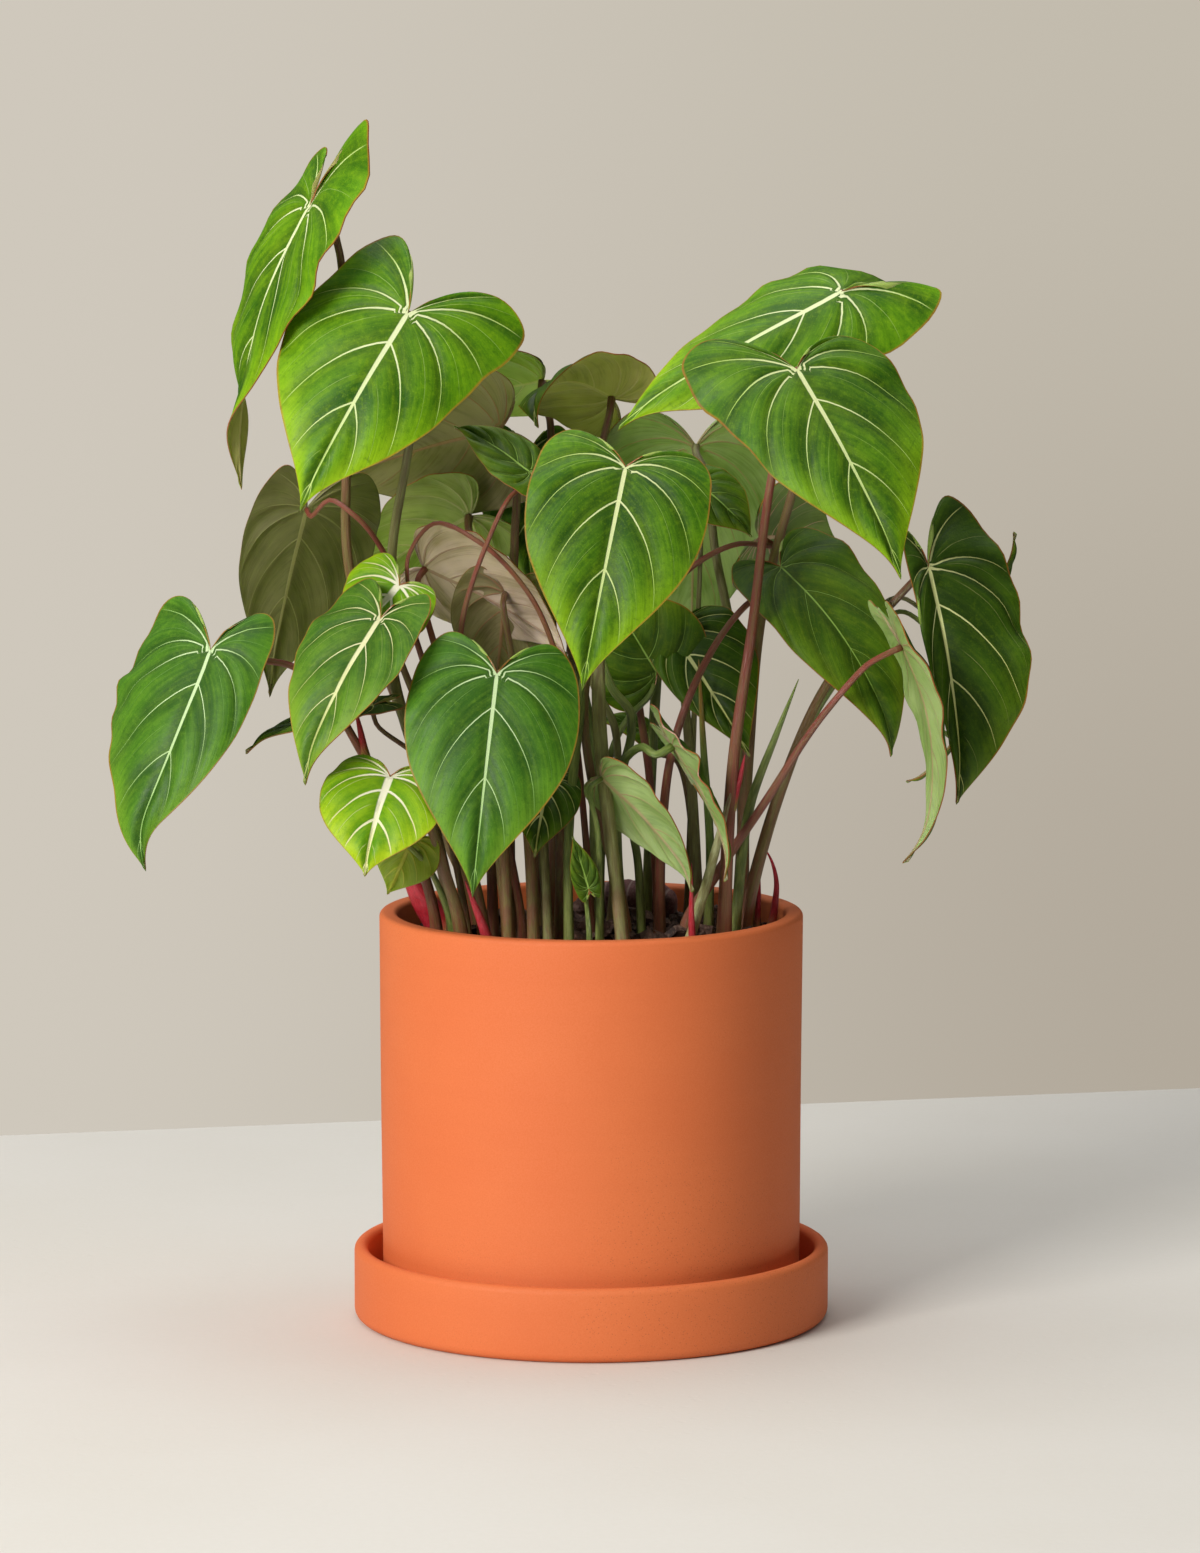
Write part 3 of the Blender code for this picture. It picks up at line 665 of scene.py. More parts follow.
@dataclass(frozen=True)
class BarkFinish:
    """Dark bark and crumbs of soil."""

    name: str
    dark: Colour
    brown: Colour
    ash: Colour
    rings: float = 0.0

    def build(self, effects: Effects) -> bpy.types.Material:
        """Make the material."""
        material, w, shader = start_material(self.name, 0.8, Specular_IOR_Level=0.35)
        where = w.position()
        bark = w.group(effects.mineral, {"Position": where, "Cloud Scale": 95.0,
                                         "Grain Scale": 620.0})
        tone = w.mix(bark["Cloud"], self.dark, self.brown)
        tone = w.tint(tone, self.ash, w.ramp(bark["Grain"], 0.55, 0.95), 0.4)
        tone = w.tint(tone, self.dark, bark["Pits"], 0.7)
        if self.rings:
            _, _, along = w.split(w.attribute("stalk_round"))
            ring = w.math("PINGPONG", w.times(along, self.rings), 0.5)
            tone = w.mix(w.ramp(ring, 0.14, 0.02, 0.0, 0.8), tone, self.ash)
        w.join(tone, shader.inputs["Base Color"])
        w.join(w.ramp(bark["Grain"], 0.0, 1.0, 0.62, 0.92), shader.inputs["Roughness"])
        add_bump(w, shader, w.times_plus(bark["Cloud"], 0.8, bark["Height"]), 0.0007, 0.9)
        return material


@dataclass(frozen=True)
class StageFinish:
    """A plain painted floor or wall."""

    name: str
    body: Colour
    shade: Colour

    def build(self, effects: Effects) -> bpy.types.Material:
        """Make the material."""
        material, w, shader = start_material(self.name, 0.9, Specular_IOR_Level=0.2)
        face = w.group(effects.mineral, {"Position": w.position(), "Cloud Scale": 3.0,
                                         "Grain Scale": 260.0})
        tone = w.mix(w.times(face["Cloud"], 0.35), self.body, self.shade)
        w.join(w.mix(w.times(face["Grain"], 0.12), tone, self.shade),
               shader.inputs["Base Color"])
        add_bump(w, shader, face["Height"], 0.0004, 0.25)
        return material


# --- Finishes ---------------------------------------------------------------------


class Look(Enum):
    """The greens that the upper sides of the blades have."""

    FRESH = BladeFinish("blade_fresh", *paints("225203 559009 9AC20E DFE8B4 BCD878"),
                        yellowing=0.75, side_width=0.00062, midrib_width=0.0013)
    MEADOW = BladeFinish("blade_meadow", *paints("1A4204 3C7209 8AB40C D6DFA4 A8C860"),
                         yellowing=0.75, side_width=0.00055, midrib_width=0.0011)
    DEEP = BladeFinish("blade_deep", *paints("243E03 426609 6C880C DCE09C C4CA78"),
                       yellowing=0.4, side_width=0.00055, midrib_width=0.0011)
    BLUE = BladeFinish("blade_blue", *paints("2A5212 4A8018 7AA428 C6DEA8 93BE66"),
                       yellowing=0.5, side_width=0.00042, midrib_width=0.0010)
    BRIGHT = BladeFinish("blade_bright", *paints("2A5412 4B7C1E 86A82C E2E2B0 BCC878"),
                         yellowing=0.7, side_width=0.00045, midrib_width=0.0015)
    PLAIN = BladeFinish("blade_plain", *paints("2E4C0A 4E7410 84981A 8CAE50 7EA044"),
                        yellowing=0.5, side_width=0.00018, midrib_width=0.0005)
    LIME = BladeFinish("blade_lime", *paints("4A8408 80AC0A ACC816 F0EDD2 DCDC9C A0522A"),
                       yellowing=0.9, side_width=0.0008, midrib_width=0.0020)


class Under(Enum):
    """The colours of the lower sides of the blades, most of them made much paler than the leaves'
    own undersides as painted light for the light that shines through the thin blades.
    """

    OLIVE = UndersideFinish("underside_olive", *paints("7C7A3C 9C9858 AAA06C"), 0.55)
    BROWN = UndersideFinish("underside_brown", *paints("706840 918860 9A6A50"), 0.6)
    # Painted shade: OLIVE made darker for a leaf whose underside lies in shade.
    OLIVE_SHADED = UndersideFinish("underside_olive_shaded", *paints("4E4C26 66643A 8A8656"), 0.6)
    GREEN = UndersideFinish("underside_green", *paints("7E9A3C A6BC62 C8C88A"), 0.5)
    PALE = UndersideFinish("underside_pale", *paints("76904A 9AB070 A9806A"), 0.6)
    ROSY = UndersideFinish("underside_rosy", *paints("5E7038 7E8E54 D0A896"), 0.85)
    BEIGE = UndersideFinish("underside_beige", *paints("A8967C CDBBA4 8A6450"), 0.6)
    YELLOW = UndersideFinish("underside_yellow", *paints("6E8418 8C9C28 A6A03C"), 0.5)


class Skin(Enum):
    """The colours that the stalks, the sheaths and the blades' margins have."""

    BROWN = StalkFinish("stalk_brown", *paints("925A3C 7E5C3A 744A36 7C7C3C"), 0.6)
    OLIVE = StalkFinish("stalk_olive", *paints("886040 787442 685C3C 929A5A"), 0.7)
    RED = StalkFinish("stalk_red", *paints("90503A 864434 9A4A3C 7C6E3A"), 0.5)
    GREEN = StalkFinish("stalk_green", *paints("747834 667A34 708A3C 9CAC5A"), 0.55)
    PALE = StalkFinish("stalk_pale", *paints("B48C60 969458 826048 BCC48C"), 0.7)
    MARGIN = StalkFinish("blade_margin", *paints("9A5A28 8E6A24 A05A2A 7A8A24"), 0.4)
    SHEATH = StalkFinish("sheath_red", *paints("8C8A2C B81E2E C83444 D04A58"), 0.35)
    ROLLED = StalkFinish("rolled_leaf", *paints("6A5A34 5C7A2A B87A34 8CA048"), 0.5)


class Earth(Enum):
    """The soil, the bark and the rootstock."""

    SOIL = BarkFinish("soil_crumb", *paints("1E150F 3C2B20 6E5C50"))
    CHIPS = BarkFinish("soil_chips", *paints("261813 5C3E30 8C7466"))
    ROOTSTOCK = BarkFinish("rootstock_bark", *paints("4A2C2A 845450 9A807A"), 8.0)


class Palette:
    """Every material of the plant, built when it is first asked for."""

    def __init__(self) -> None:
        """Start with the shared node groups."""
        self.effects = Effects()
        self.made: dict[str, bpy.types.Material] = {}

    def get(self, finish: Any) -> bpy.types.Material:
        """Give the material of a finish.

        Args:
            finish: One of the finishes, or a choice that names one.

        Returns:
            The material.
        """
        if isinstance(finish, Enum):
            finish = finish.value
        if finish.name not in self.made:
            self.made[finish.name] = finish.build(self.effects)
        return self.made[finish.name]


# --- The pot ----------------------------------------------------------------------


def round_corner(x: float, z: float, start: float, end: float, radius: float,
                 steps: int = 5) -> list[tuple[float, float]]:
    """Give points round a corner of a profile, between two angles in degrees."""
    angles = [math.radians(start + (end - start) * step / steps) for step in range(steps + 1)]
    return [(x + radius * math.cos(a), z + radius * math.sin(a)) for a in angles]


def evened(profile: Sequence[tuple[float, float]], longest: float) -> np.ndarray:
    """Part the long stretches of a profile into short ones."""
    points = [profile[0]]
    for before, after in zip(profile, profile[1:]):
        count = max(1, math.ceil(math.dist(before, after) / longest))
        for step in range(1, count + 1):
            share = step / count
            points.append((before[0] + (after[0] - before[0]) * share,
                           before[1] + (after[1] - before[1]) * share))
    return np.array(points)


@dataclass
class Turned:
    """A piece of terracotta turned about the upright axis.

    The wall is not quite true: it wanders by a fraction of a millimetre, as a cast
    and sponged pot's does.
    """

    name: str
    node: str
    profile: list[tuple[float, float]]
    wander: float = 0.00012
    around: int = 192

    def build(self, palette: Palette) -> None:
        """Lay the turned surface, close it and dress it."""
        points = evened(self.profile, 0.012)
        rows = len(points) - 1

        def place(length: np.ndarray, breadth: np.ndarray) -> np.ndarray:
            index = np.rint(length * rows).astype(int)
            turn = 2 * math.pi * breadth
            radius, height = points[index, 0], points[index, 1]
            off = self.wander * (np.sin(3 * turn + 0.7) + 0.6 * np.sin(5 * turn + 40 * height))
            radius = np.where(radius > 0.02, radius + off, radius)
            return np.stack([radius * np.cos(turn), radius * np.sin(turn), height], 1)

        obj = lay_grid(self.name, rows, self.around, place)
        close_surface(obj)
        soften(obj, 50)
        obj.data.materials.append(palette.get(ClayFinish()))
        hand_over(obj, self.node, [self.node])


@dataclass
class Pottery:
    """The pot and the saucer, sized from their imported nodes."""

    wall: float = 0.0085
    floor: float = 0.012
    edge: float = 0.0024
    taper: float = 0.00125
    drain: float = 0.0075
    saucer_wall: float = 0.0065
    saucer_floor: float = 0.008
    saucer_corner: float = 0.0045
    saucer_fillet: float = 0.003

    def build(self, palette: Palette) -> None:
        """Build both pieces."""
        low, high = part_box("pot")
        rim = high.x
        foot, edge = rim - self.taper, self.edge
        profile = round_corner(rim - edge, high.z - edge, 90, 0, edge)
        profile += round_corner(foot - edge, low.z + edge, 0, -90, edge)
        profile += [(self.drain, low.z), (self.drain, low.z + self.floor)]
        inner = foot - self.wall
        profile += [(inner - edge, low.z + self.floor), (inner, low.z + self.floor + edge)]
        profile += round_corner(rim - self.wall + edge, high.z - edge, 180, 90, edge)
        profile.append(profile[0])
        Turned("pot_body", "pot", profile).build(palette)

        low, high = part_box("saucer")
        outer, half = high.x, self.saucer_wall / 2
        inner = outer - self.saucer_wall
        fillet, corner = self.saucer_fillet, self.saucer_corner
        profile = [(0.0, self.saucer_floor), (inner - fillet, self.saucer_floor),
                   (inner, self.saucer_floor + fillet)]
        profile += round_corner(inner + half, high.z - half, 180, 0, half, 8)
        profile += round_corner(outer - corner, corner, 0, -90, corner)
        profile.append((0.0, 0.0))
        Turned("saucer_dish", "saucer", profile).build(palette)


# --- The soil ---------------------------------------------------------------------


@dataclass
class Soil:
    """Loose dark soil with bark chips on it."""

    radius: float = 0.0906
    crumb: float = 0.0005
    narrowing: float = 0.014
    chips: int = 460
    heap: float = 0.008
    seed: int = 7

    def build(self, palette: Palette) -> None:
        """Build the mound and the chips on it."""
        low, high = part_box("soil")
        self.top, self.deep = high.z, low.z
        self.build_mound(palette)
        self.build_chips(palette)

    def height(self, x: np.ndarray, y: np.ndarray) -> np.ndarray:
        """Give the height of the soil's uneven top."""
        ripple = (np.sin(x * 173 + 1.3) * np.cos(y * 141 - 0.6) + 0.7 * np.sin(x * 331 - y * 263)
                  + 0.5 * np.cos(x * 587 + y * 491 + 2.0))
        far = np.hypot(x, y) / self.radius
        return self.top - 0.0012 + 0.0011 * ripple * (1 - far ** 6) + 0.002 * (1 - far ** 2)

    def build_mound(self, palette: Palette) -> None:
        """Lay the crumbly surface down to the bottom of the pot."""
        crumbs = np.random.default_rng(self.seed)
        rings, around = 74, 180
        level = rings - 6
        rough = crumbs.normal(0, 1, (rings + 1, around + 1))
        rough[:, -1] = rough[:, 0]

        def place(length: np.ndarray, breadth: np.ndarray) -> np.ndarray:
            row = np.rint(length * rings).astype(int)
            column = np.rint(breadth * around).astype(int)
            turn = 2 * math.pi * breadth
            radius = self.radius * np.minimum(row / level, 1.0)
            x, y = radius * np.cos(turn), radius * np.sin(turn)
            lift = np.where((row > 0) & (row < level), rough[row, column] * self.crumb, 0.0)
            z = self.height(x, y) + lift
            down = np.clip((row - level) / 5.0, 0, 1)
            z = z * (1 - down) + self.deep * down
            open_part = np.where(row == rings, 0.0, 1.0)
            shrink = 1 - self.narrowing * down
            return np.stack([x * open_part * shrink, y * open_part * shrink, z], 1)

        obj = lay_grid("soil_mound", rings, around, place)
        close_surface(obj, 0.00001)
        obj.data.materials.append(palette.get(Earth.SOIL))
        hand_over(obj, "soil", ["soil"])

    def chip_kind(self, dice: np.random.Generator) -> bpy.types.Mesh:
        """Model one broken piece of bark, about one unit long."""
        clear_choice()
        bpy.ops.mesh.primitive_cube_add(size=1.0, location=(0, 0, 0))
        obj = bpy.context.object
        edit_all(obj, bpy.ops.mesh.subdivide, number_cuts=2)
        shape = (1.0, dice.uniform(0.45, 0.85), dice.uniform(0.16, 0.34))
        for vertex in obj.data.vertices:
            x, y, z = vertex.co
            round_off = 1 - 0.5 * (abs(x) ** 3 + abs(y) ** 3) * 2
            vertex.co = (x * shape[0] * (1 - 0.5 * abs(y)), y * shape[1] * (1 - 0.55 * abs(x)),
                         z * shape[2] * round_off + 0.12 * x * x - 0.2 * y * y)
            vertex.co += Vector(dice.normal(0, 0.045, 3))
        mesh = obj.data
        bpy.data.objects.remove(obj)
        return mesh

    def build_chips(self, palette: Palette) -> None:
        """Scatter the bark chips over the mound as one piece."""
        dice = np.random.default_rng(self.seed + 1)
        kinds = [self.chip_kind(dice) for _ in range(9)]
        heap = bmesh.new()
        for _ in range(self.chips):
            far = self.radius * math.sqrt(dice.uniform(0, 1))
            turn = dice.uniform(0, 2 * math.pi)
            size = 0.006 + 0.012 * dice.uniform(0, 1) ** 1.8
            far = min(far, self.radius - size * 0.62)
            x, y = far * math.cos(turn), far * math.sin(turn)
            z = float(self.height(np.array(x), np.array(y))) + size * dice.uniform(0.0, 0.22)
            heap_up = math.exp(-((x - 0.025) / 0.05) ** 2 - ((y + 0.02) / 0.06) ** 2)
            z += self.heap * heap_up * dice.uniform(0.2, 1.0)
            tilt = Euler((dice.normal(0, 0.42), dice.normal(0, 0.42), dice.uniform(0, 6.28)))
            matrix = Matrix.Translation((x, y, z)) @ tilt.to_matrix().to_4x4()
            matrix = matrix @ Matrix.Scale(size, 4)
            first = len(heap.verts)
            heap.from_mesh(kinds[int(dice.integers(len(kinds)))])
            heap.verts.ensure_lookup_table()
            bmesh.ops.transform(heap, matrix=matrix, verts=heap.verts[first:])
        mesh = bpy.data.meshes.new("bark_chips")
        heap.to_mesh(mesh)
        heap.free()
        obj = bpy.data.objects.new("bark_chips", mesh)
        bpy.context.scene.collection.objects.link(obj)
        soften(obj, 40)
        obj.data.materials.append(palette.get(Earth.CHIPS))
        hand_over(obj, "soil")


# --- Stalks -----------------------------------------------------------------------


def smooth_route(points: Sequence[np.ndarray], spacing: float) -> np.ndarray:
    """Give points on a smooth curve through the given ones.

    Args:
        points: The places that the curve passes.
        spacing: About how far apart the given points are.

    Returns:
        The points as rows.
    """
    stops = [np.asarray(p, float) for p in points]
    lengths = [float(np.linalg.norm(b - a)) for a, b in zip(stops, stops[1:])]
    slopes = [(b - a) / n for a, b, n in zip(stops, stops[1:], lengths)]
    tangents = [slopes[0]]
    for index in range(1, len(slopes)):
        before, after = lengths[index - 1], lengths[index]
        tangents.append((slopes[index - 1] * after + slopes[index] * before) / (before + after))
    tangents.append(slopes[-1])
    route = [stops[0]]
    for index, length in enumerate(lengths):
        leave = min(length, 2 * lengths[max(index - 1, 0)])
        arrive = min(length, 2 * lengths[min(index + 1, len(lengths) - 1)])
        steps = max(2, math.ceil(length / spacing))
        for step in range(1, steps + 1):
            t = step / steps
            route.append(stops[index] * (2 * t ** 3 - 3 * t ** 2 + 1)
                         + stops[index + 1] * (3 * t ** 2 - 2 * t ** 3)
                         + tangents[index] * leave * (t ** 3 - 2 * t ** 2 + t)
                         + tangents[index + 1] * arrive * (t ** 3 - t ** 2))
    return np.array(route)


@dataclass
class Rod:
    """A round growing thing: a stalk, a sheath or the rootstock.

    Its radius follows a profile along it, its section may be ribbed or flattened,
    and its vertices carry how far round and along they are.
    """

    name: str
    route: np.ndarray
    radii: np.ndarray
    around: int = 16
    ribs: float = 0.04
    rib_count: int = 5
    groove: float = 0.0
    knobs: float = 0.0
    knob_count: float = 0.0
    seed: float = 0.0

    def frames(self) -> tuple[np.ndarray, np.ndarray]:
        """Give the two sideways directions at each point, without a twist."""
        ways = np.gradient(self.route, axis=0)
        ways /= np.linalg.norm(ways, axis=1)[:, None]
        side = np.cross(ways[0], (0.31, 0.94, 0.12))
        side /= np.linalg.norm(side)
        sides = []
        for way in ways:
            side = side - way * (side @ way)
            side /= np.linalg.norm(side)
            sides.append(side)
        first = np.array(sides)
        return first, np.cross(ways, first)

    def build(self) -> bpy.types.Object:
        """Wrap the skin round the route and close its ends."""
        rows = len(self.route) - 1
        first, second = self.frames()
        lengths = np.linalg.norm(np.diff(self.route, axis=0), axis=1)
        along = np.concatenate([[0.0], np.cumsum(lengths)])

        def place(length: np.ndarray, breadth: np.ndarray) -> np.ndarray:
            row = np.rint(length * rows).astype(int)
            turn = 2 * math.pi * breadth
            wide = self.radii[row]
            wave = self.rib_count * turn + self.seed + along[row] * 20
            wide = wide * (1 + self.ribs * np.cos(wave))
            wide = wide * (1 - self.groove * np.clip(np.cos(turn), 0, 1) ** 6)
            if self.knob_count:
                step = along[row] / along[-1] * self.knob_count
                wide = wide * (1 + self.knobs * np.abs(np.sin(math.pi * step)) ** 0.6)
            out = first[row] * np.cos(turn)[:, None] + second[row] * np.sin(turn)[:, None]
            self.carried = np.stack([np.cos(turn), np.sin(turn), along[row] / along[-1]], 1)
            return self.route[row] + out * wide[:, None]

        obj = lay_grid(self.name, rows, self.around, place)
        write_attribute(obj, "stalk_round", self.carried)
        write_attribute(obj, "stalk_seed", np.full((len(self.carried), 3), self.seed))
        close_surface(obj, 0.000002, caps=True)
        return obj


# --- Leaves -----------------------------------------------------------------------


HEART_ALONG = (0.0, -0.10, -0.20, -0.22, -0.12, 0.05, 0.23, 0.42, 0.58, 0.72, 0.84, 0.93, 1.0)
HEART_ASIDE = (0.0, 0.17, 0.38, 0.62, 0.84, 0.965, 1.0, 0.90, 0.68, 0.42, 0.19, 0.055, 0.0)
SPREAD_ALONG = (0.0, -0.15, -0.22, -0.19, -0.10, 0.05, 0.23)
SPREAD_ASIDE = (0.0, 0.30, 0.68, 1.00, 1.08, 1.04, 1.0)
VEIN_BULGE = (0.0, 6.0, 12.0, 18.0, 26.0, 34.0, 40.0, 34.0, 24.0, 20.0, 18.0, 12.0, 0.0)
VEIN_STATIONS = (2.0, 3.5, 5.2, 6.9, 8.3, 9.5)
FIRST_STATION = 1.3
LAST_STATION = 12.0
NO_CHANGE = (1.0, 1.0, 1.0, 1.0, 1.0)
BLADE_THICKNESS = 0.00055
PUFF_SHARE = 0.15
PUFF_LIMIT = 0.0017
GROOVE_DEPTH = 0.0007
GROOVE_BREADTH = 0.0022
STALK_FOOT_RADIUS = 0.0037
STALK_NECK_RADIUS = 0.0017
STALK_DEPTH = 0.004


@dataclass
class Leaf:
    """One leaf: its heart-shaped blade and the stalk that carries it.

    joint and tip are where the midrib starts and ends, foot is where the stalk starts,
    and way lists the stalk's places from the joint down, all from the middle of the
    soil's top.  face is the way that the blade's upper side looks.  Angles are in
    degrees.  Pairs are for the left and the right half, as seen by someone who looks at
    the upper side with the tip down.  left and right widen or narrow the margin at five
    places from the lobe to the tip.
    """

    number: int
    joint: Point
    tip: Point
    face: Point
    width: float
    arch: float = 30
    fold: float = 8
    cup: float = 20
    curl: float = 20
    sweep: float = 0
    hook: float = 0
    twist: float = 0
    wave: float = 0.012
    ruffle: float = 0.008
    lobes: tuple[float, float] = (1, 1)
    spread: tuple[float, float] = (0, 0)
    lift: tuple[float, float] = (0, 0)
    skew: float = 0
    left: Sequence[float] = NO_CHANGE
    right: Sequence[float] = NO_CHANGE
    quilt: float = 1.0
    look: Look = Look.DEEP
    under: Under = Under.GREEN
    skin: Skin = Skin.BROWN
    foot: tuple[float, float] = (0.0, 0.0)
    way: Sequence[Point] = ()
    thick: float = 1.0
    rows_between: int = 8
    half_columns: int = 15
    in_frame: bool = True

    def prepare(self) -> None:
        """Lay out the midrib and the blade's own directions."""
        along = np.linspace(-0.6, 1, 321)
        ahead = np.clip(along, 0, 1)
        late = ease((ahead - 0.7) / 0.3)
        pitch = -math.radians(self.arch) * ahead - math.radians(self.curl) * late
        yaw = math.radians(self.sweep) * ahead + math.radians(self.hook) * late
        way = np.stack([np.cos(pitch) * np.cos(yaw), np.cos(pitch) * np.sin(yaw),
                        np.sin(pitch)], 1)
        steps = (way[1:] + way[:-1]) / 2 * np.diff(along)[:, None]
        spine = np.concatenate([[[0.0, 0.0, 0.0]], np.cumsum(steps, 0)])
        self.spine = spine - spine[120]
        self.along, self.pitch, self.yaw = along, pitch, yaw
        end = self.spine[-1]
        forward = end / np.linalg.norm(end)
        upward = np.array([0.0, 0.0, 1.0]) - forward * forward[2]
        upward /= np.linalg.norm(upward)
        own = np.stack([forward, np.cross(upward, forward), upward])
        chord = np.array(self.tip, float) - np.array(self.joint, float)
        self.scale = float(np.linalg.norm(chord) / np.linalg.norm(end))
        forward = chord / np.linalg.norm(chord)
        upward = np.array(self.face, float)
        upward = upward - forward * (upward @ forward)
        upward /= np.linalg.norm(upward)
        world = np.stack([forward, np.cross(upward, forward), upward])
        self.turn = own.T @ world
        self.joint_up = np.array([0.0, 0.0, 1.0]) @ self.turn
        self.joint_ahead = np.array([1.0, 0.0, 0.0]) @ self.turn
        self.half_width = self.width / 2 / self.scale

    def margin(self, station: np.ndarray, half: int) -> tuple[np.ndarray, np.ndarray]:
        """Give how far along and aside the margin of one half is."""
        mix = self.spread[half]
        along, aside = np.array(HEART_ALONG), np.array(HEART_ASIDE)
        along[:7] += mix * (np.array(SPREAD_ALONG) - along[:7])
        aside[:7] += mix * (np.array(SPREAD_ASIDE) - aside[:7])
        reach, wide = read_along(along, station), read_along(aside, station)
        reach = np.where(reach < 0, reach * self.lobes[half], reach)
        change = self.right if half else self.left
        wide = wide * read_along(change, (station - 1.0) / 11.0 * 4.0)
        return reach, wide * self.half_width * (1 + self.skew if half else 1 - self.skew)

    def flat(self, station: np.ndarray, side: np.ndarray) -> tuple[np.ndarray, np.ndarray]:
        """Give the place on the unbent blade of a station and a share of the half's breadth."""
        left, right = self.margin(station, 0), self.margin(station, 1)
        reach = np.where(side > 0, right[0], left[0])
        wide = np.where(side > 0, right[1], left[1])
        start = np.maximum(0, (reach - 0.5) / 0.5) ** 1.35
        length = np.hypot(reach - start, wide)
        angle = np.arctan2(wide, reach - start) + np.radians(read_along(VEIN_BULGE, station))
        q = np.abs(side)
        middle = start + 0.55 * length * np.cos(angle)
        along = (1 - q) ** 2 * start + 2 * q * (1 - q) * middle + q * q * reach
        across = 2 * q * (1 - q) * 0.55 * length * np.sin(angle) + q * q * wide
        return along, np.sign(side) * across

    def bend(self, along: np.ndarray, across: np.ndarray, relief: np.ndarray) -> np.ndarray:
        """Put places of the unbent blade on the bent one."""
        point = np.stack([np.interp(along, self.along, self.spine[:, k]) for k in range(3)], -1)
        pitch = np.interp(along, self.along, self.pitch)
        yaw = np.interp(along, self.along, self.yaw)
        turn = math.radians(self.twist) * ease((along - 0.5) / 0.5)
        tangent = np.stack([np.cos(pitch) * np.cos(yaw), np.cos(pitch) * np.sin(yaw),
                            np.sin(pitch)], -1)
        edgeways = np.stack([-np.sin(yaw), np.cos(yaw), 0 * yaw], -1)
        normal = np.cross(tangent, edgeways)
        cosine, sine = np.cos(turn)[:, None], np.sin(turn)[:, None]
        side_way = edgeways * cosine + normal * sine
        up_way = normal * cosine - edgeways * sine
        fold = math.radians(self.fold)
        bend = max(math.radians(self.cup), 1e-4) if self.cup >= 0 else math.radians(self.cup)
        bend /= self.half_width
        q, side = np.abs(across), np.sign(across)
        share = q / self.half_width
        out = (math.sin(fold) - np.sin(fold - bend * q)) / bend
        rise = (np.cos(fold - bend * q) - math.cos(fold)) / bend
        rise = rise + self.wave * share ** 2 * np.sin(2 * math.pi * 2.2 * along + side * 1.1)
        rise = rise + self.ruffle * share ** 3 * np.sin(
            2 * math.pi * 4.7 * along + side * 2.3 + self.number * 1.7)
        lift = np.where(side < 0, self.lift[0], self.lift[1])
        rise = rise + lift * np.clip(-along / 0.2, 0, 2) ** 1.5 + relief / self.scale
        point = point + side_way * (out * side)[:, None] + up_way * rise[:, None]
        return np.array(self.joint) + self.scale * (point @ self.turn)

    def lanes(self, station: np.ndarray) -> np.ndarray:
        """Number the veins: whole numbers lie on them."""
        stops = (2 * VEIN_STATIONS[0] - VEIN_STATIONS[1], *VEIN_STATIONS, LAST_STATION)
        ends = (-1.0, *range(len(VEIN_STATIONS)), len(VEIN_STATIONS) + 0.45)
        return np.interp(station, stops, ends)

    def build_blade(self, palette: Palette, lift: Vector) -> None:
        """Lay the blade, raise it between its veins and dress its three sides."""
        stops = [FIRST_STATION, *VEIN_STATIONS, 10.4, 11.2, LAST_STATION]
        stations = [FIRST_STATION]
        for before, after in zip(stops, stops[1:]):
            count = self.rows_between if before < 9.5 else 4
            stations += [before + (after - before) * (s + 1) / count for s in range(count)]
        listed = np.array(stations)
        rows, half = len(listed) - 1, self.half_columns
        base = np.array(lift)

        def place(length: np.ndarray, breadth: np.ndarray) -> np.ndarray:
            station = listed[np.rint(length * rows).astype(int)]
            step = np.rint(breadth * 2 * half) - half
            share = np.abs(step) / half
            side = np.sign(step) * (0.35 * share + 0.65 * np.sin(share * math.pi / 2))
            along, across = self.flat(station, side)
            lane = self.lanes(station)
            near = np.abs(lane - np.rint(lane))
            puff = 1 - (1 - 2 * near) ** 2
            q = np.abs(side)
            beside = self.flat(np.minimum(station + 0.01, LAST_STATION), side)
            gap = np.hypot(beside[0] - along, beside[1] - across) / 0.01
            slope = (self.lanes(station + 0.01) - self.lanes(station - 0.01)) / 0.02
            spacing = gap / np.maximum(slope, 0.05) * self.scale
            relief = np.minimum(PUFF_SHARE * spacing, PUFF_LIMIT) * puff * np.sin(
                math.pi * np.clip(q * 1.04, 0, 1)) ** 0.7 * self.quilt
            groove = GROOVE_DEPTH * np.exp(-(across * self.scale / GROOVE_BREADTH) ** 2)
            relief = relief - groove * ease(along / 0.09)
            self.place_data = np.stack([along, np.abs(across) * self.scale, q], 1)
            self.vein_data = np.stack([lane, spacing, np.full(len(lane), self.number * 3.7)], 1)
            return self.bend(along, across, relief) + base

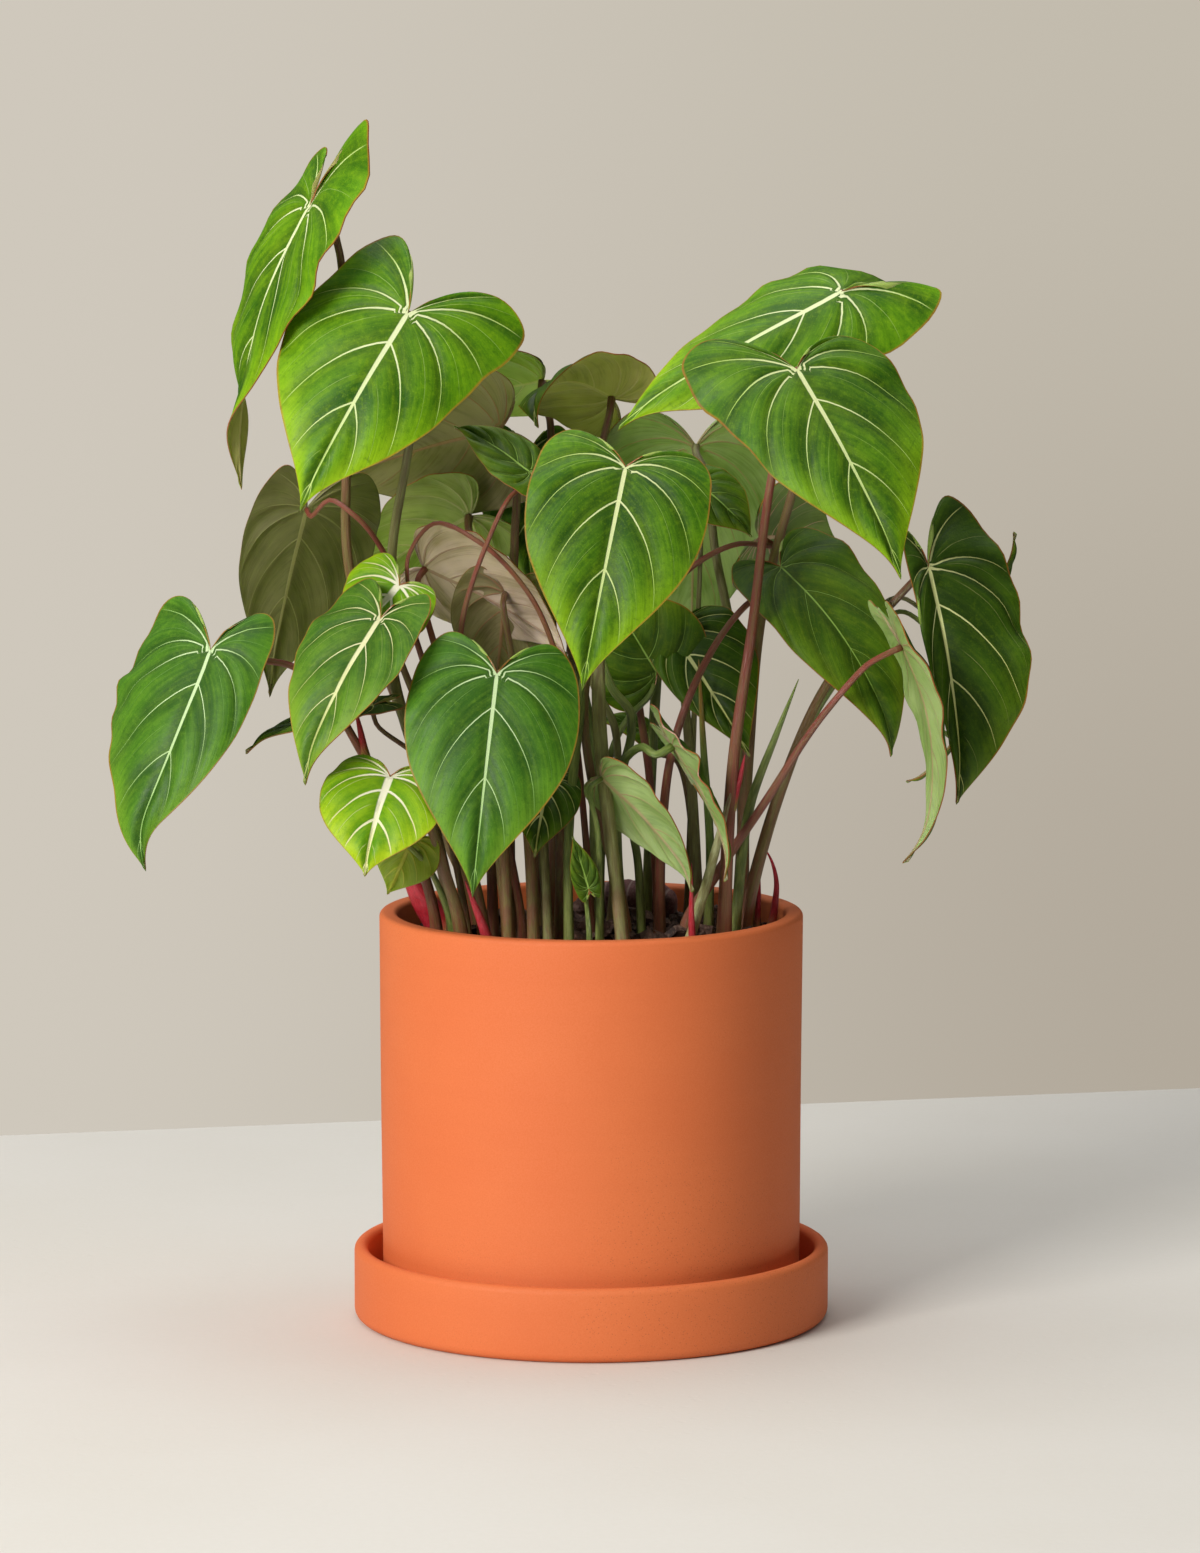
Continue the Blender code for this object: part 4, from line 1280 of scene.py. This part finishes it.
        obj = lay_grid(f"leaf_{self.number:02d}_blade", rows, 2 * half, place)
        write_attribute(obj, "leaf_place", self.place_data)
        write_attribute(obj, "leaf_vein", self.vein_data)
        rim = np.stack([self.place_data[:, 0], self.place_data[:, 2], self.vein_data[:, 2]], 1)
        write_attribute(obj, "stalk_round", rim)
        write_attribute(obj, "stalk_seed", np.full((len(rim), 3), self.number * 2.3))
        edit_all(obj, bpy.ops.mesh.remove_doubles, threshold=0.00001)
        normals = np.empty(len(obj.data.polygons) * 3)
        obj.data.polygons.foreach_get("normal", normals)
        if (normals.reshape(-1, 3) @ np.array(self.joint_up)).sum() < 0:
            edit_all(obj, bpy.ops.mesh.flip_normals)
        bpy.ops.object.shade_smooth()
        for finish in (self.look, self.under, Skin.MARGIN):
            obj.data.materials.append(palette.get(finish))
        solid = obj.modifiers.new("thickness", "SOLIDIFY")
        solid.thickness, solid.offset = BLADE_THICKNESS, -1.0
        solid.material_offset, solid.material_offset_rim = 1, 2
        apply_modifiers(obj)
        soften(obj, 60)
        node = "leaf_underside" if self.under not in (Under.GREEN, Under.YELLOW) else "leaf"
        hand_over(obj, node, [f"blade_{self.number:02d}"] if self.in_frame else ())

    def build_stalk(self, palette: Palette, lift: Vector) -> None:
        """Run the stalk from the soil to the joint, swelling at both ends."""
        joint, up, ahead = np.array(self.joint), self.joint_up, self.joint_ahead
        end = joint - up * 0.0006 + ahead * 0.0002
        neck = end - up * 0.0085 - ahead * 0.0012
        foot = np.array([*self.foot, -STALK_DEPTH])
        above = np.array([*self.foot, 0.010])
        stops = [foot, above, *[np.array(p, float) for p in reversed(self.way)], neck, end]
        if self.way and self.way[-1][2] < 0.02:
            stops.pop(1)
        route = smooth_route(stops, 0.004)
        share = np.linspace(0, 1, len(route))
        narrowing = STALK_NECK_RADIUS - STALK_FOOT_RADIUS
        size = self.thick * (STALK_FOOT_RADIUS + narrowing * share ** 0.75)
        length = np.concatenate([[0], np.cumsum(np.linalg.norm(np.diff(route, axis=0), axis=1))])
        left = length[-1] - length
        size = size * (1 + 0.22 * np.exp(-(length / 0.022) ** 2)
                       + 0.24 * np.exp(-(left / 0.006) ** 2))
        rod = Rod(f"leaf_{self.number:02d}_stalk", route + np.array(lift), size,
                  groove=0.12, seed=self.number * 1.9)
        obj = rod.build()
        obj.data.materials.append(palette.get(self.skin))
        hand_over(obj, "stalk", [f"stalk_{self.number:02d}"] if self.in_frame else ())

    def build(self, palette: Palette, lift: Vector) -> None:
        """Build the blade and its stalk."""
        self.prepare()
        self.build_blade(palette, lift)
        self.build_stalk(palette, lift)


LEAVES = (
    Leaf(1, (-0.13, -0.02, 0.346), (-0.164, 0.0, 0.213), (-0.9, -0.42, 0.3), 0.072,
         look=Look.FRESH, under=Under.OLIVE, arch=40, curl=0, twist=75, lobes=(0.8, 1.5),
         spread=(-0.3, -0.25), lift=(0.0, 0.03), left=(1.2, 1.05, 1.0, 1.0, 1.0),
         right=(1.8, 1.4, 1.05, 1.0, 1.0), foot=(-0.052, -0.006), way=((-0.117, -0.014, 0.326),
         (-0.114, -0.008, 0.246), (-0.112, -0.008, 0.171), (-0.091, -0.004, 0.115),
         (-0.068, -0.004, 0.05))),
    Leaf(2, (-0.084, -0.05, 0.298), (-0.133, -0.075, 0.209), (-0.1, -1, 0.4), 0.096,
         look=Look.FRESH, skin=Skin.OLIVE, arch=25, fold=-2, cup=25, lobes=(1.45, 1.3),
         spread=(-0.2, 1), skew=-0.08, right=(1.0, 1.1, 0.94, 0.98, 1.0), foot=(-0.064, -0.027),
         way=((-0.083, -0.036, 0.248), (-0.093, -0.014, 0.183), (-0.093, -0.015, 0.131),
         (-0.079, -0.025, 0.08))),
    Leaf(3, (-0.176, -0.045, 0.142), (-0.205, -0.07, 0.042), (-0.45, -0.9, 0.35), 0.082,
         look=Look.BLUE, skin=Skin.RED, fold=0, cup=30, sweep=-20, hook=40, lobes=(1.2, 1),
         spread=(0.2, 0.5), skew=-0.3, thick=0.8, foot=(-0.072, -0.04),
         way=((-0.14, -0.034, 0.134), (-0.102, -0.04, 0.086), (-0.077, -0.042, 0.035))),
    Leaf(4, (-0.097, -0.06, 0.158), (-0.131, -0.085, 0.084), (-0.5, -0.8, 0.5), 0.06,
         look=Look.BRIGHT, skew=-0.12, thick=0.85, foot=(-0.05, -0.045),
         way=((-0.086, -0.046, 0.132), (-0.063, -0.045, 0.07))),
    Leaf(5, (-0.089, -0.034, 0.171), (-0.114, -0.038, 0.141), (-0.2, -0.8, 0.6), 0.05,
         look=Look.LIME, skin=Skin.RED, arch=10, curl=5, thick=0.55, foot=(0.0, -0.03),
         way=((-0.085, -0.022, 0.183), (-0.073, -0.024, 0.199), (-0.052, -0.03, 0.191),
         (-0.03, -0.034, 0.169), (-0.011, -0.034, 0.12), (-0.003, -0.032, 0.06))),
    Leaf(6, (-0.043, -0.072, 0.134), (-0.054, -0.1, 0.034), (0, -1, 0.3), 0.081, look=Look.BLUE,
         arch=22, fold=4, cup=22, lobes=(0.8, 0.75), foot=(-0.038, -0.056),
         way=((-0.042, -0.054, 0.105), (-0.042, -0.054, 0.05))),
    Leaf(7, (0.016, -0.06, 0.228), (-0.004, -0.09, 0.128), (0, -1, 0.35), 0.084, look=Look.MEADOW,
         arch=28, lobes=(0.6, 0.55), spread=(0.2, 0.2), thick=0.8, foot=(0.016, -0.044),
         way=((0.004, -0.038, 0.164), (-0.003, -0.04, 0.109), (0.003, -0.039, 0.068),
         (0.012, -0.042, 0.035))),
    Leaf(8, (-0.092, -0.077, 0.087), (-0.103, -0.102, 0.044), (-0.1, -0.9, 0.6), 0.057,
         look=Look.LIME, under=Under.YELLOW, arch=50, left=(1.0, 1.0, 1.05, 1.3, 1.2),
         right=(1.0, 1.0, 1.05, 1.3, 1.2), foot=(-0.06, -0.058), way=((-0.08, -0.066, 0.072),
         (-0.066, -0.06, 0.036))),
    Leaf(9, (0.095, -0.045, 0.272), (0.142, -0.08, 0.178), (0.15, -0.9, 0.5), 0.084,
         look=Look.MEADOW, skin=Skin.RED, arch=25, fold=0, cup=22, lobes=(1.4, 0.45),
         spread=(0.8, -0.2), skew=0.14, left=(1.3, 1.3, 1.06, 1.0, 1.0), foot=(0.062, -0.048),
         way=((0.09, -0.032, 0.255), (0.082, -0.034, 0.211), (0.075, -0.04, 0.155),
         (0.066, -0.046, 0.091))),
    Leaf(10, (0.117, 0.01, 0.305), (0.012, -0.005, 0.241), (-0.2, -0.75, 0.75), 0.076,
         look=Look.FRESH, arch=10, fold=-12, lobes=(1.35, 1.4), spread=(-0.5, -0.4),
         lift=(-0.16, 0.0), left=(1.7, 1.35, 1.0, 1.0, 1.0), right=(1.7, 1.25, 1.0, 1.0, 1.0),
         foot=(0.07, 0.002), way=((0.112, 0.017, 0.268), (0.094, 0.017, 0.207),
         (0.082, 0.017, 0.161), (0.074, 0.012, 0.085))),
    Leaf(11, (0.158, -0.01, 0.177), (0.171, -0.025, 0.067), (0.4, -0.9, 0.1), 0.06, fold=18,
         cup=10, lobes=(0.8, 1.25), spread=(0.0, -0.4), skew=0.35,
         left=(1.0, 0.75, 0.65, 0.8, 1.0), right=(1.0, 1.0, 1.0, 1.45, 1.6), foot=(0.072, -0.024),
         way=((0.145, 0.002, 0.163), (0.112, -0.006, 0.124), (0.089, -0.018, 0.074))),
    Leaf(12, (0.144, -0.045, 0.144), (0.145, -0.052, 0.043), (0.95, 0.25, 0.1), 0.046,
         under=Under.PALE, skin=Skin.RED, arch=55, fold=10, thick=0.8, foot=(0.044, -0.034),
         way=((0.129, -0.044, 0.136), (0.108, -0.041, 0.112), (0.081, -0.036, 0.07),
         (0.06, -0.034, 0.038))),
    Leaf(13, (0.089, -0.005, 0.177), (0.141, -0.014, 0.088), (0.1, -0.7, 0.7), 0.06,
         look=Look.PLAIN, skin=Skin.RED, arch=70, lobes=(0.6, 0.6), skew=0.1,
         right=(1.1, 1.15, 1.0, 1.1, 1.0), quilt=0.6, thick=0.8, foot=(0.032, -0.028),
         way=((0.072, -0.01, 0.159), (0.053, -0.026, 0.134), (0.038, -0.033, 0.095),
         (0.033, -0.03, 0.055))),
    Leaf(14, (0.04, 0.012, 0.142), (0.075, -0.008, 0.087), (-0.1, -0.8, 0.5), 0.048,
         skin=Skin.OLIVE, lobes=(0.5, 0.5), skew=0.3, foot=(0.05, 0.014),
         way=((0.044, 0.022, 0.115), (0.048, 0.018, 0.065))),
    Leaf(15, (-0.133, 0.0, 0.204), (-0.152, 0.015, 0.113), (-0.3, 1, 0.3), 0.066,
         under=Under.OLIVE_SHADED, skin=Skin.RED, arch=20, fold=0, cup=-12, skew=-0.2, thick=0.62,
         foot=(-0.056, 0.022), way=((-0.122, -0.012, 0.209), (-0.111, -0.017, 0.203),
         (-0.097, -0.006, 0.184), (-0.087, -0.003, 0.157), (-0.076, 0.01, 0.12),
         (-0.061, 0.018, 0.05))),
    Leaf(16, (-0.043, 0.028, 0.239), (-0.13, 0.05, 0.208), (-0.2, 0.9, 0.3), 0.084,
         under=Under.BROWN, lobes=(0.8, 0.8), foot=(-0.039, 0.006), way=((-0.037, 0.017, 0.222),
         (-0.036, 0.018, 0.189), (-0.04, 0.014, 0.129), (-0.039, 0.008, 0.052))),
    Leaf(17, (-0.023, 0.066, 0.26), (-0.08, 0.09, 0.235), (0, 0.6, 0.8), 0.066, lobes=(0.6, 0.6),
         skew=0.15, foot=(-0.018, 0.026), way=((-0.02, 0.058, 0.243), (-0.02, 0.042, 0.177),
         (-0.017, 0.032, 0.11))),
    Leaf(18, (0.01, 0.042, 0.253), (-0.025, -0.005, 0.242), (-0.2, 0.5, 0.8), 0.062,
         under=Under.OLIVE, arch=110, foot=(-0.016, 0.046), way=((0.006, 0.036, 0.235),
         (-0.006, 0.038, 0.175), (-0.011, 0.044, 0.1))),
    Leaf(19, (0.05, 0.055, 0.229), (0.048, 0.065, 0.122), (0, 1, 0.25), 0.086, look=Look.MEADOW,
         under=Under.PALE, skin=Skin.OLIVE, lobes=(0.8, 0.8), skew=0.1, foot=(0.072, 0.026),
         way=((0.054, 0.04, 0.219), (0.059, 0.031, 0.18), (0.065, 0.024, 0.15),
         (0.072, 0.025, 0.063))),
    Leaf(20, (0.08, 0.03, 0.188), (0.122, 0.08, 0.178), (-0.1, 1, 0.2), 0.066, under=Under.ROSY,
         skin=Skin.RED, skew=-0.1, thick=0.7, foot=(0.032, 0.023), way=((0.07, 0.018, 0.186),
         (0.044, 0.018, 0.172), (0.025, 0.022, 0.14), (0.028, 0.024, 0.07))),
    Leaf(21, (-0.078, 0.0, 0.176), (-0.01, -0.018, 0.135), (0.2, 0.8, 0.6), 0.06,
         under=Under.BEIGE, skin=Skin.RED, arch=25, lobes=(0.55, 0.55), skew=-0.15, thick=0.8,
         foot=(-0.046, -0.022), way=((-0.077, -0.013, 0.155), (-0.066, -0.02, 0.12),
         (-0.05, -0.022, 0.07))),
    Leaf(22, (-0.028, -0.038, 0.224), (-0.064, -0.022, 0.244), (-0.2, -0.5, 0.8), 0.028,
         look=Look.PLAIN, skin=Skin.RED, thick=0.6, foot=(-0.032, -0.032),
         way=((-0.037, -0.038, 0.213), (-0.049, -0.042, 0.189), (-0.06, -0.042, 0.152),
         (-0.042, -0.035, 0.069))),
    Leaf(23, (-0.03, 0.062, 0.224), (-0.028, 0.072, 0.16), (-0.2, -1, 0.2), 0.05,
         look=Look.MEADOW, skin=Skin.GREEN, foot=(0.002, 0.022), way=((-0.016, 0.066, 0.16),
         (0.0, 0.05, 0.09), (0.002, 0.03, 0.04))),
    Leaf(25, (-0.02, -0.05, 0.082), (-0.026, -0.07, 0.048), (0, -0.9, 0.4), 0.034,
         under=Under.OLIVE, foot=(-0.014, -0.042), way=((-0.016, -0.041, 0.066),
         (-0.014, -0.041, 0.035))),
    Leaf(27, (0.005, -0.056, 0.084), (0.047, -0.082, 0.034), (0.3, 0.7, 0.5), 0.036,
         look=Look.MEADOW, under=Under.PALE, skin=Skin.GREEN, lobes=(0.3, 0.3), thick=0.6,
         foot=(0.004, -0.064), way=((0.003, -0.066, 0.062), (0.004, -0.065, 0.032))),
    Leaf(28, (0.038, -0.048, 0.098), (0.062, -0.076, 0.038), (0.8, 0.3, 0.4), 0.03,
         under=Under.PALE, skin=Skin.GREEN, lobes=(1.2, 1.0), skew=-0.4, foot=(0.014, -0.028),
         way=((0.024, -0.044, 0.097), (0.014, -0.036, 0.088), (0.012, -0.03, 0.05))),
)

EXTRA_LEAVES = (
    Leaf(31, (-0.083, -0.06, 0.055), (-0.094, -0.062, 0.03), (0.3, 1.0, -0.2), 0.034,
         look=Look.LIME, under=Under.YELLOW, skin=Skin.GREEN, arch=20, curl=5, thick=0.6,
         foot=(-0.064, -0.052), way=((-0.076, -0.058, 0.044),), in_frame=False),
    Leaf(32, (-0.058, 0.052, 0.196), (-0.112, 0.06, 0.16), (-0.1, 0.9, 0.4), 0.062,
         look=Look.MEADOW, foot=(-0.02, 0.06), way=((-0.052, 0.044, 0.17), (-0.032, 0.056, 0.09)),
         in_frame=False),
    Leaf(33, (-0.001, -0.074, 0.035), (-0.0085, -0.076, 0.06), (0.1, -1.0, 0.2), 0.013,
         look=Look.PLAIN, skin=Skin.GREEN, arch=10, thick=0.45, foot=(0.0, -0.076),
         way=((-0.001, -0.075, 0.018),), in_frame=False),
    Leaf(34, (0.03, 0.046, 0.092), (0.002, 0.04, 0.099), (0.1, -0.5, 0.8), 0.022, look=Look.PLAIN,
         under=Under.PALE, thick=0.6, foot=(0.05, 0.04), way=((0.04, 0.046, 0.08),),
         in_frame=False),
    Leaf(35, (-0.102, -0.032, 0.115), (-0.161, -0.036, 0.093), (-0.2, -0.2, 1.0), 0.03,
         under=Under.OLIVE, arch=20, thick=0.6, foot=(-0.058, -0.03), way=((-0.08, -0.03, 0.09),),
         in_frame=False),
    Leaf(36, (0.052, 0.01, 0.214), (0.076, 0.004, 0.19), (0.1, -0.8, 0.6), 0.03, look=Look.PLAIN,
         skin=Skin.OLIVE, thick=0.55, foot=(0.046, 0.024), way=((0.052, 0.018, 0.2),
         (0.049, 0.022, 0.11)), in_frame=False),
    Leaf(37, (0.172, 0.008, 0.094), (0.1485, 0.004, 0.074), (0.4, -0.2, -0.9), 0.018,
         look=Look.PLAIN, under=Under.PALE, skin=Skin.GREEN, thick=0.55, foot=(0.076, 0.014),
         way=((0.17, 0.014, 0.125), (0.148, 0.014, 0.154), (0.112, 0.008, 0.116),
         (0.089, 0.002, 0.068)), in_frame=False),
    Leaf(38, (0.184, 0.016, 0.146), (0.2, 0.016, 0.192), (0.9, -0.3, -0.2), 0.014,
         look=Look.PLAIN, under=Under.OLIVE, skin=Skin.OLIVE, arch=10, thick=0.55,
         foot=(0.076, 0.02), way=((0.165, 0.018, 0.15), (0.146, 0.014, 0.161),
         (0.112, 0.012, 0.12), (0.09, 0.01, 0.07)), in_frame=False),
    Leaf(39, (0.031, 0.008, 0.126), (0.006, 0.014, 0.168), (-0.2, -1.0, 0.3), 0.06,
         look=Look.PLAIN, skin=Skin.GREEN, thick=0.7, foot=(0.004, -0.01),
         way=((0.028, 0.004, 0.116), (0.018, 0.0, 0.106), (0.011, -0.004, 0.094),
         (0.006, -0.008, 0.06)), in_frame=False),
    Leaf(40, (-0.04, -0.006, 0.165), (-0.046, 0.004, 0.11), (0.1, 0.9, 0.4), 0.05,
         under=Under.BROWN, thick=0.8, foot=(-0.024, -0.01), way=((-0.036, -0.012, 0.13),
         (-0.026, -0.012, 0.06)), in_frame=False),
)


@dataclass
class Sprout:
    """A young sheath or a rolled young leaf that stands between the stalks."""

    name: str
    points: Sequence[Point]
    radius: float
    skin: Skin = Skin.SHEATH
    blunt: float = 1.5
    node: str = ""
    slot: str = "sheath"

    def build(self, palette: Palette, lift: Vector) -> None:
        """Run the sprout to its point."""
        route = smooth_route([np.array(p, float) for p in self.points], 0.002)
        share = np.linspace(0, 1, len(route))
        radii = self.radius * (1.0 - 0.93 * share ** self.blunt) * (1 + 0.25 * np.exp(
            -(share / 0.15) ** 2))
        rod = Rod(self.name, route + np.array(lift), radii, ribs=0.10, rib_count=2,
                  seed=self.radius * 900)
        obj = rod.build()
        obj.data.materials.append(palette.get(self.skin))
        hand_over(obj, self.slot, [self.node] if self.node else ())


@dataclass
class Stray(Sprout):
    """A loose stalk or a rolled young leaf, which tapers only near its end."""

    blunt: float = 9.0
    slot: str = "stalk"


SPROUTS = (
    Sprout("young_sheath_left", ((-0.066, -0.014, 0.002), (-0.071, -0.015, 0.01),
           (-0.079, -0.016, 0.021), (-0.089, -0.017, 0.037)), 0.0072, Skin.SHEATH, 2.2,
           "sheath_left"),
    Sprout("young_sheath_front", ((-0.045, -0.066, 0.0), (-0.049, -0.066, 0.014),
           (-0.054, -0.065, 0.027), (-0.058, -0.064, 0.037)), 0.0032, Skin.SHEATH, 1.6,
           "sheath_front"),
    Sprout("young_sheath_right", ((0.084, 0.0, 0.0), (0.0868, 0.0, 0.016), (0.0875, 0.0, 0.028),
           (0.085, 0.0, 0.038), (0.081, 0.0, 0.045)), 0.0024, Skin.SHEATH, 1.3, "sheath_right"),
    Sprout("young_sheath_back", ((0.078, 0.01, 0.0), (0.0795, 0.01, 0.018), (0.0795, 0.01, 0.04)),
           0.0018, Skin.SHEATH, 1.3),
    Sprout("young_sheath_mid", ((0.0475, -0.07, 0.0), (0.0465, -0.07, 0.02),
           (0.0465, -0.069, 0.046)), 0.0023, Skin.SHEATH, 1.4),
    Sprout("young_sheath_high", ((0.0645, -0.046, 0.068), (0.067, -0.0455, 0.0765),
           (0.07, -0.045, 0.0865), (0.0715, -0.045, 0.0935)), 0.0028, Skin.SHEATH, 1.6),
    Sprout("young_sheath_far", ((-0.1045, -0.04, 0.091), (-0.107, -0.0385, 0.104),
           (-0.11, -0.038, 0.117)), 0.0022, Skin.SHEATH, 1.6),
)

STRAYS = (
    Stray("stray_stalk_snaking", ((0.024, -0.02, -0.003), (0.022, -0.02, 0.04),
          (0.015, -0.02, 0.083), (0.0189, -0.02, 0.1), (0.0186, -0.02, 0.11),
          (0.0104, -0.02, 0.121), (0.0052, -0.018, 0.134), (0.004, -0.014, 0.16)), 0.0021,
          Skin.GREEN),
    Stray("stray_stalk_fork", ((0.008, -0.024, -0.003), (0.012, -0.022, 0.06),
          (0.01, -0.022, 0.107), (0.001, -0.022, 0.124), (-0.004, -0.02, 0.15)), 0.0019,
          Skin.OLIVE),
    Stray("stray_stalk_brown", ((-0.026, -0.062, -0.003), (-0.028, -0.056, 0.05),
          (-0.034, -0.044, 0.12)), 0.0029, Skin.BROWN),
    Stray("stray_stalk_dark", ((-0.019, -0.06, -0.003), (-0.022, -0.052, 0.05),
          (-0.026, -0.04, 0.125)), 0.0026, Skin.OLIVE),
    Stray("stray_stalk_left", ((-0.0375, -0.066, -0.003), (-0.04, -0.06, 0.05),
          (-0.046, -0.05, 0.11)), 0.0027, Skin.BROWN),
    Stray("stray_stalk_green", ((-0.01, -0.064, -0.003), (-0.01, -0.056, 0.06),
          (-0.004, -0.04, 0.12), (0.004, -0.034, 0.17)), 0.0023, Skin.GREEN),
    Stray("stray_stalk_thick", ((0.0165, -0.068, -0.003), (0.01, -0.058, 0.05),
          (0.004, -0.048, 0.11), (0.004, -0.04, 0.17)), 0.0031, Skin.OLIVE),
    Stray("stray_stalk_leaning", ((0.0415, -0.07, -0.003), (0.052, -0.06, 0.03),
          (0.066, -0.048, 0.08)), 0.0026, Skin.PALE, 4.0),
    Stray("stray_stalk_far", ((0.026, 0.03, -0.003), (0.03, 0.034, 0.1), (0.036, 0.04, 0.19)),
          0.0024, Skin.GREEN),
    Stray("rolled_leaf_slender", ((0.066, -0.036, -0.003), (0.0755, -0.03, 0.072),
          (0.086, -0.03, 0.1), (0.0967, -0.03, 0.127)), 0.0026, Skin.GREEN, 3.0),
    Stray("rolled_leaf_young", ((0.055, -0.01, -0.003), (0.056, -0.01, 0.046),
          (0.053, -0.01, 0.09), (0.0505, -0.01, 0.134)), 0.0023, Skin.ROLLED, 3.0),
)


class Plant:
    """The whole plant: its leaves, its sprouts and its rootstock."""

    def build(self, palette: Palette) -> None:
        """Build every piece of the plant."""
        lift = Vector((0, 0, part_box("soil")[1].z))
        for leaf in (*LEAVES, *EXTRA_LEAVES):
            leaf.build(palette, lift)
        for sprout in (*SPROUTS, *STRAYS):
            sprout.build(palette, lift)
        self.build_rootstock(palette, lift)

    def build_rootstock(self, palette: Palette, lift: Vector) -> None:
        """Build the ringed creeping stem on the soil."""
        points = ((-0.002, 0.056, 0.0070), (0.008, 0.055, 0.0098), (0.020, 0.052, 0.0103),
                  (0.031, 0.049, 0.0098), (0.041, 0.046, 0.0078))
        route = smooth_route([np.array(p, float) for p in points], 0.0012)
        share = np.linspace(0, 1, len(route))
        radii = 0.0098 * np.sqrt(np.clip(1 - (2 * share - 1) ** 6, 0.02, 1)) * (
            0.86 + 0.14 * np.sin(math.pi * share))
        rod = Rod("rootstock", route + np.array(lift), radii, around=28, ribs=0.05, rib_count=4,
                  knobs=0.09, knob_count=8, seed=2.0)
        obj = rod.build()
        obj.data.materials.append(palette.get(Earth.ROOTSTOCK))
        hand_over(obj, "rhizome", ["rhizome"])


# --- The studio -------------------------------------------------------------------


@dataclass
class Stage:
    """A pale floor that ends behind the plant, before a plain backdrop."""

    floor: StageFinish = StageFinish("stage_floor", paint("E0DDD6"), paint("D6D1C6"))
    left_end: tuple[float, float] = (-0.32, 0.467)
    right_end: tuple[float, float] = (0.34, 0.614)
    breadth: float = 9.0
    front: float = -4.0

    def build(self, palette: Palette) -> None:
        """Build the floor."""
        (x0, y0), (x1, y1) = self.left_end, self.right_end
        slope = (y1 - y0) / (x1 - x0)

        def place(length: np.ndarray, breadth: np.ndarray) -> np.ndarray:
            x = (length - 0.5) * self.breadth
            back = y0 + slope * (x - x0)
            y = self.front + breadth * (back - self.front)
            return np.stack([x, y, 0 * x], 1)

        floor = lay_grid("stage_floor", 24, 24, place)
        floor.data.materials.append(palette.get(self.floor))


@dataclass
class Lamp:
    """A soft square light."""

    name: str
    place: Point
    aim: Point
    size: float
    power: float
    colour: Colour = (1.0, 1.0, 1.0, 1.0)

    def build(self) -> None:
        """Hang the light and turn it to its aim."""
        clear_choice()
        bpy.ops.object.light_add(type="AREA", location=self.place)
        lamp = bpy.context.object
        lamp.name = self.name
        lamp.data.shape = "SQUARE"
        lamp.data.size = self.size
        lamp.data.energy = self.power
        lamp.data.color = self.colour[:3]
        way = Vector(self.aim) - Vector(self.place)
        lamp.rotation_euler = way.to_track_quat("-Z", "Y").to_euler()


LAMPS = (
    Lamp("key_light", (-2.0, -2.5, 1.75), (0, 0, 0.28), 1.4, 116.0, (1.0, 0.975, 0.94, 1.0)),
    Lamp("fill_light", (1.6, -3.2, 1.6), (0, 0, 0.25), 2.2, 2.0),
    Lamp("top_light", (-0.2, 0.3, 2.4), (0, 0, 0.3), 1.8, 26.0),
)


@dataclass
class Studio:
    """The lights, the backdrop and the camera."""

    ambient: float = 0.33
    eye: Point = (0.0043, -2.96, 0.6315)
    dip: float = 7.2
    lens: float = 146.86

    def build(self) -> None:
        """Build the lights, the backdrop and the camera."""
        for lamp in LAMPS:
            lamp.build()
        self.build_backdrop()
        self.build_camera()

    def build_backdrop(self) -> None:
        """Show a greige backdrop, painted lighter on the left and darker to the right and lower
        right as painted shade of a wall lit from the left, and light the plant with a pale
        surround.
        """
        world = bpy.data.worlds.new("studio")
        bpy.context.scene.world = world
        world.use_nodes = True
        w = Wiring(world.node_tree)
        w.tree.nodes.clear()
        x, _, z = w.split(w.node("TexCoord").outputs["Generated"])
        # Painted shade: the backdrop seen by the camera is lighter on the left and darker on the
        # right, darkest low on the right.
        across = w.ramp(x, -0.10, 0.10)
        right = w.mix(w.ramp(z, 0.0, -0.16), paint("C2BBAD"), paint("B2A99B"))
        seen = w.mix(across, paint("CFC8BC"), right)
        backdrop = w.node("Background", {"Color": seen, "Strength": 1.0})
        sideways = w.mix(w.ramp(x, -0.8, 0.2), (0.50, 0.48, 0.46, 1.0), (0.03, 0.028, 0.026, 1.0))
        around = w.mix(w.ramp(z, 0.1, 0.95), sideways, (1.0, 0.99, 0.97, 1.0))
        surround = w.node("Background", {"Color": around, "Strength": self.ambient})
        path = w.node("LightPath")
        both = w.node("MixShader", {0: path.outputs["Is Camera Ray"],
                                    1: surround.outputs[0], 2: backdrop.outputs[0]})
        w.node("OutputWorld", {"Surface": both.outputs[0]})

    def build_camera(self) -> None:
        """Place the camera and set how light becomes colour."""
        clear_choice()
        bpy.ops.object.camera_add(location=self.eye,
                                  rotation=(math.radians(90 - self.dip), 0, 0))
        camera = bpy.context.object
        camera.name = "viewpoint"
        camera.data.sensor_width = 36.0
        camera.data.lens = self.lens
        bpy.context.scene.camera = camera
        settings = bpy.context.scene.view_settings
        settings.view_transform = "Standard"
        settings.look = "None"


def main() -> None:
    """Load the frame, build everything in order and note the sizes."""
    logging.basicConfig(level=logging.INFO, format="%(name)s %(message)s")
    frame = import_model()
    LOG.info("frame loaded: %d nodes", len(frame["nodes"]))
    palette = Palette()
    Pottery().build(palette)
    Soil().build(palette)
    Plant().build(palette)
    Stage().build(palette)
    Studio().build()
    bpy.context.view_layer.update()
    LOG.info("materials built: %d", len(palette.made))


if __name__ == "__main__":
    main()
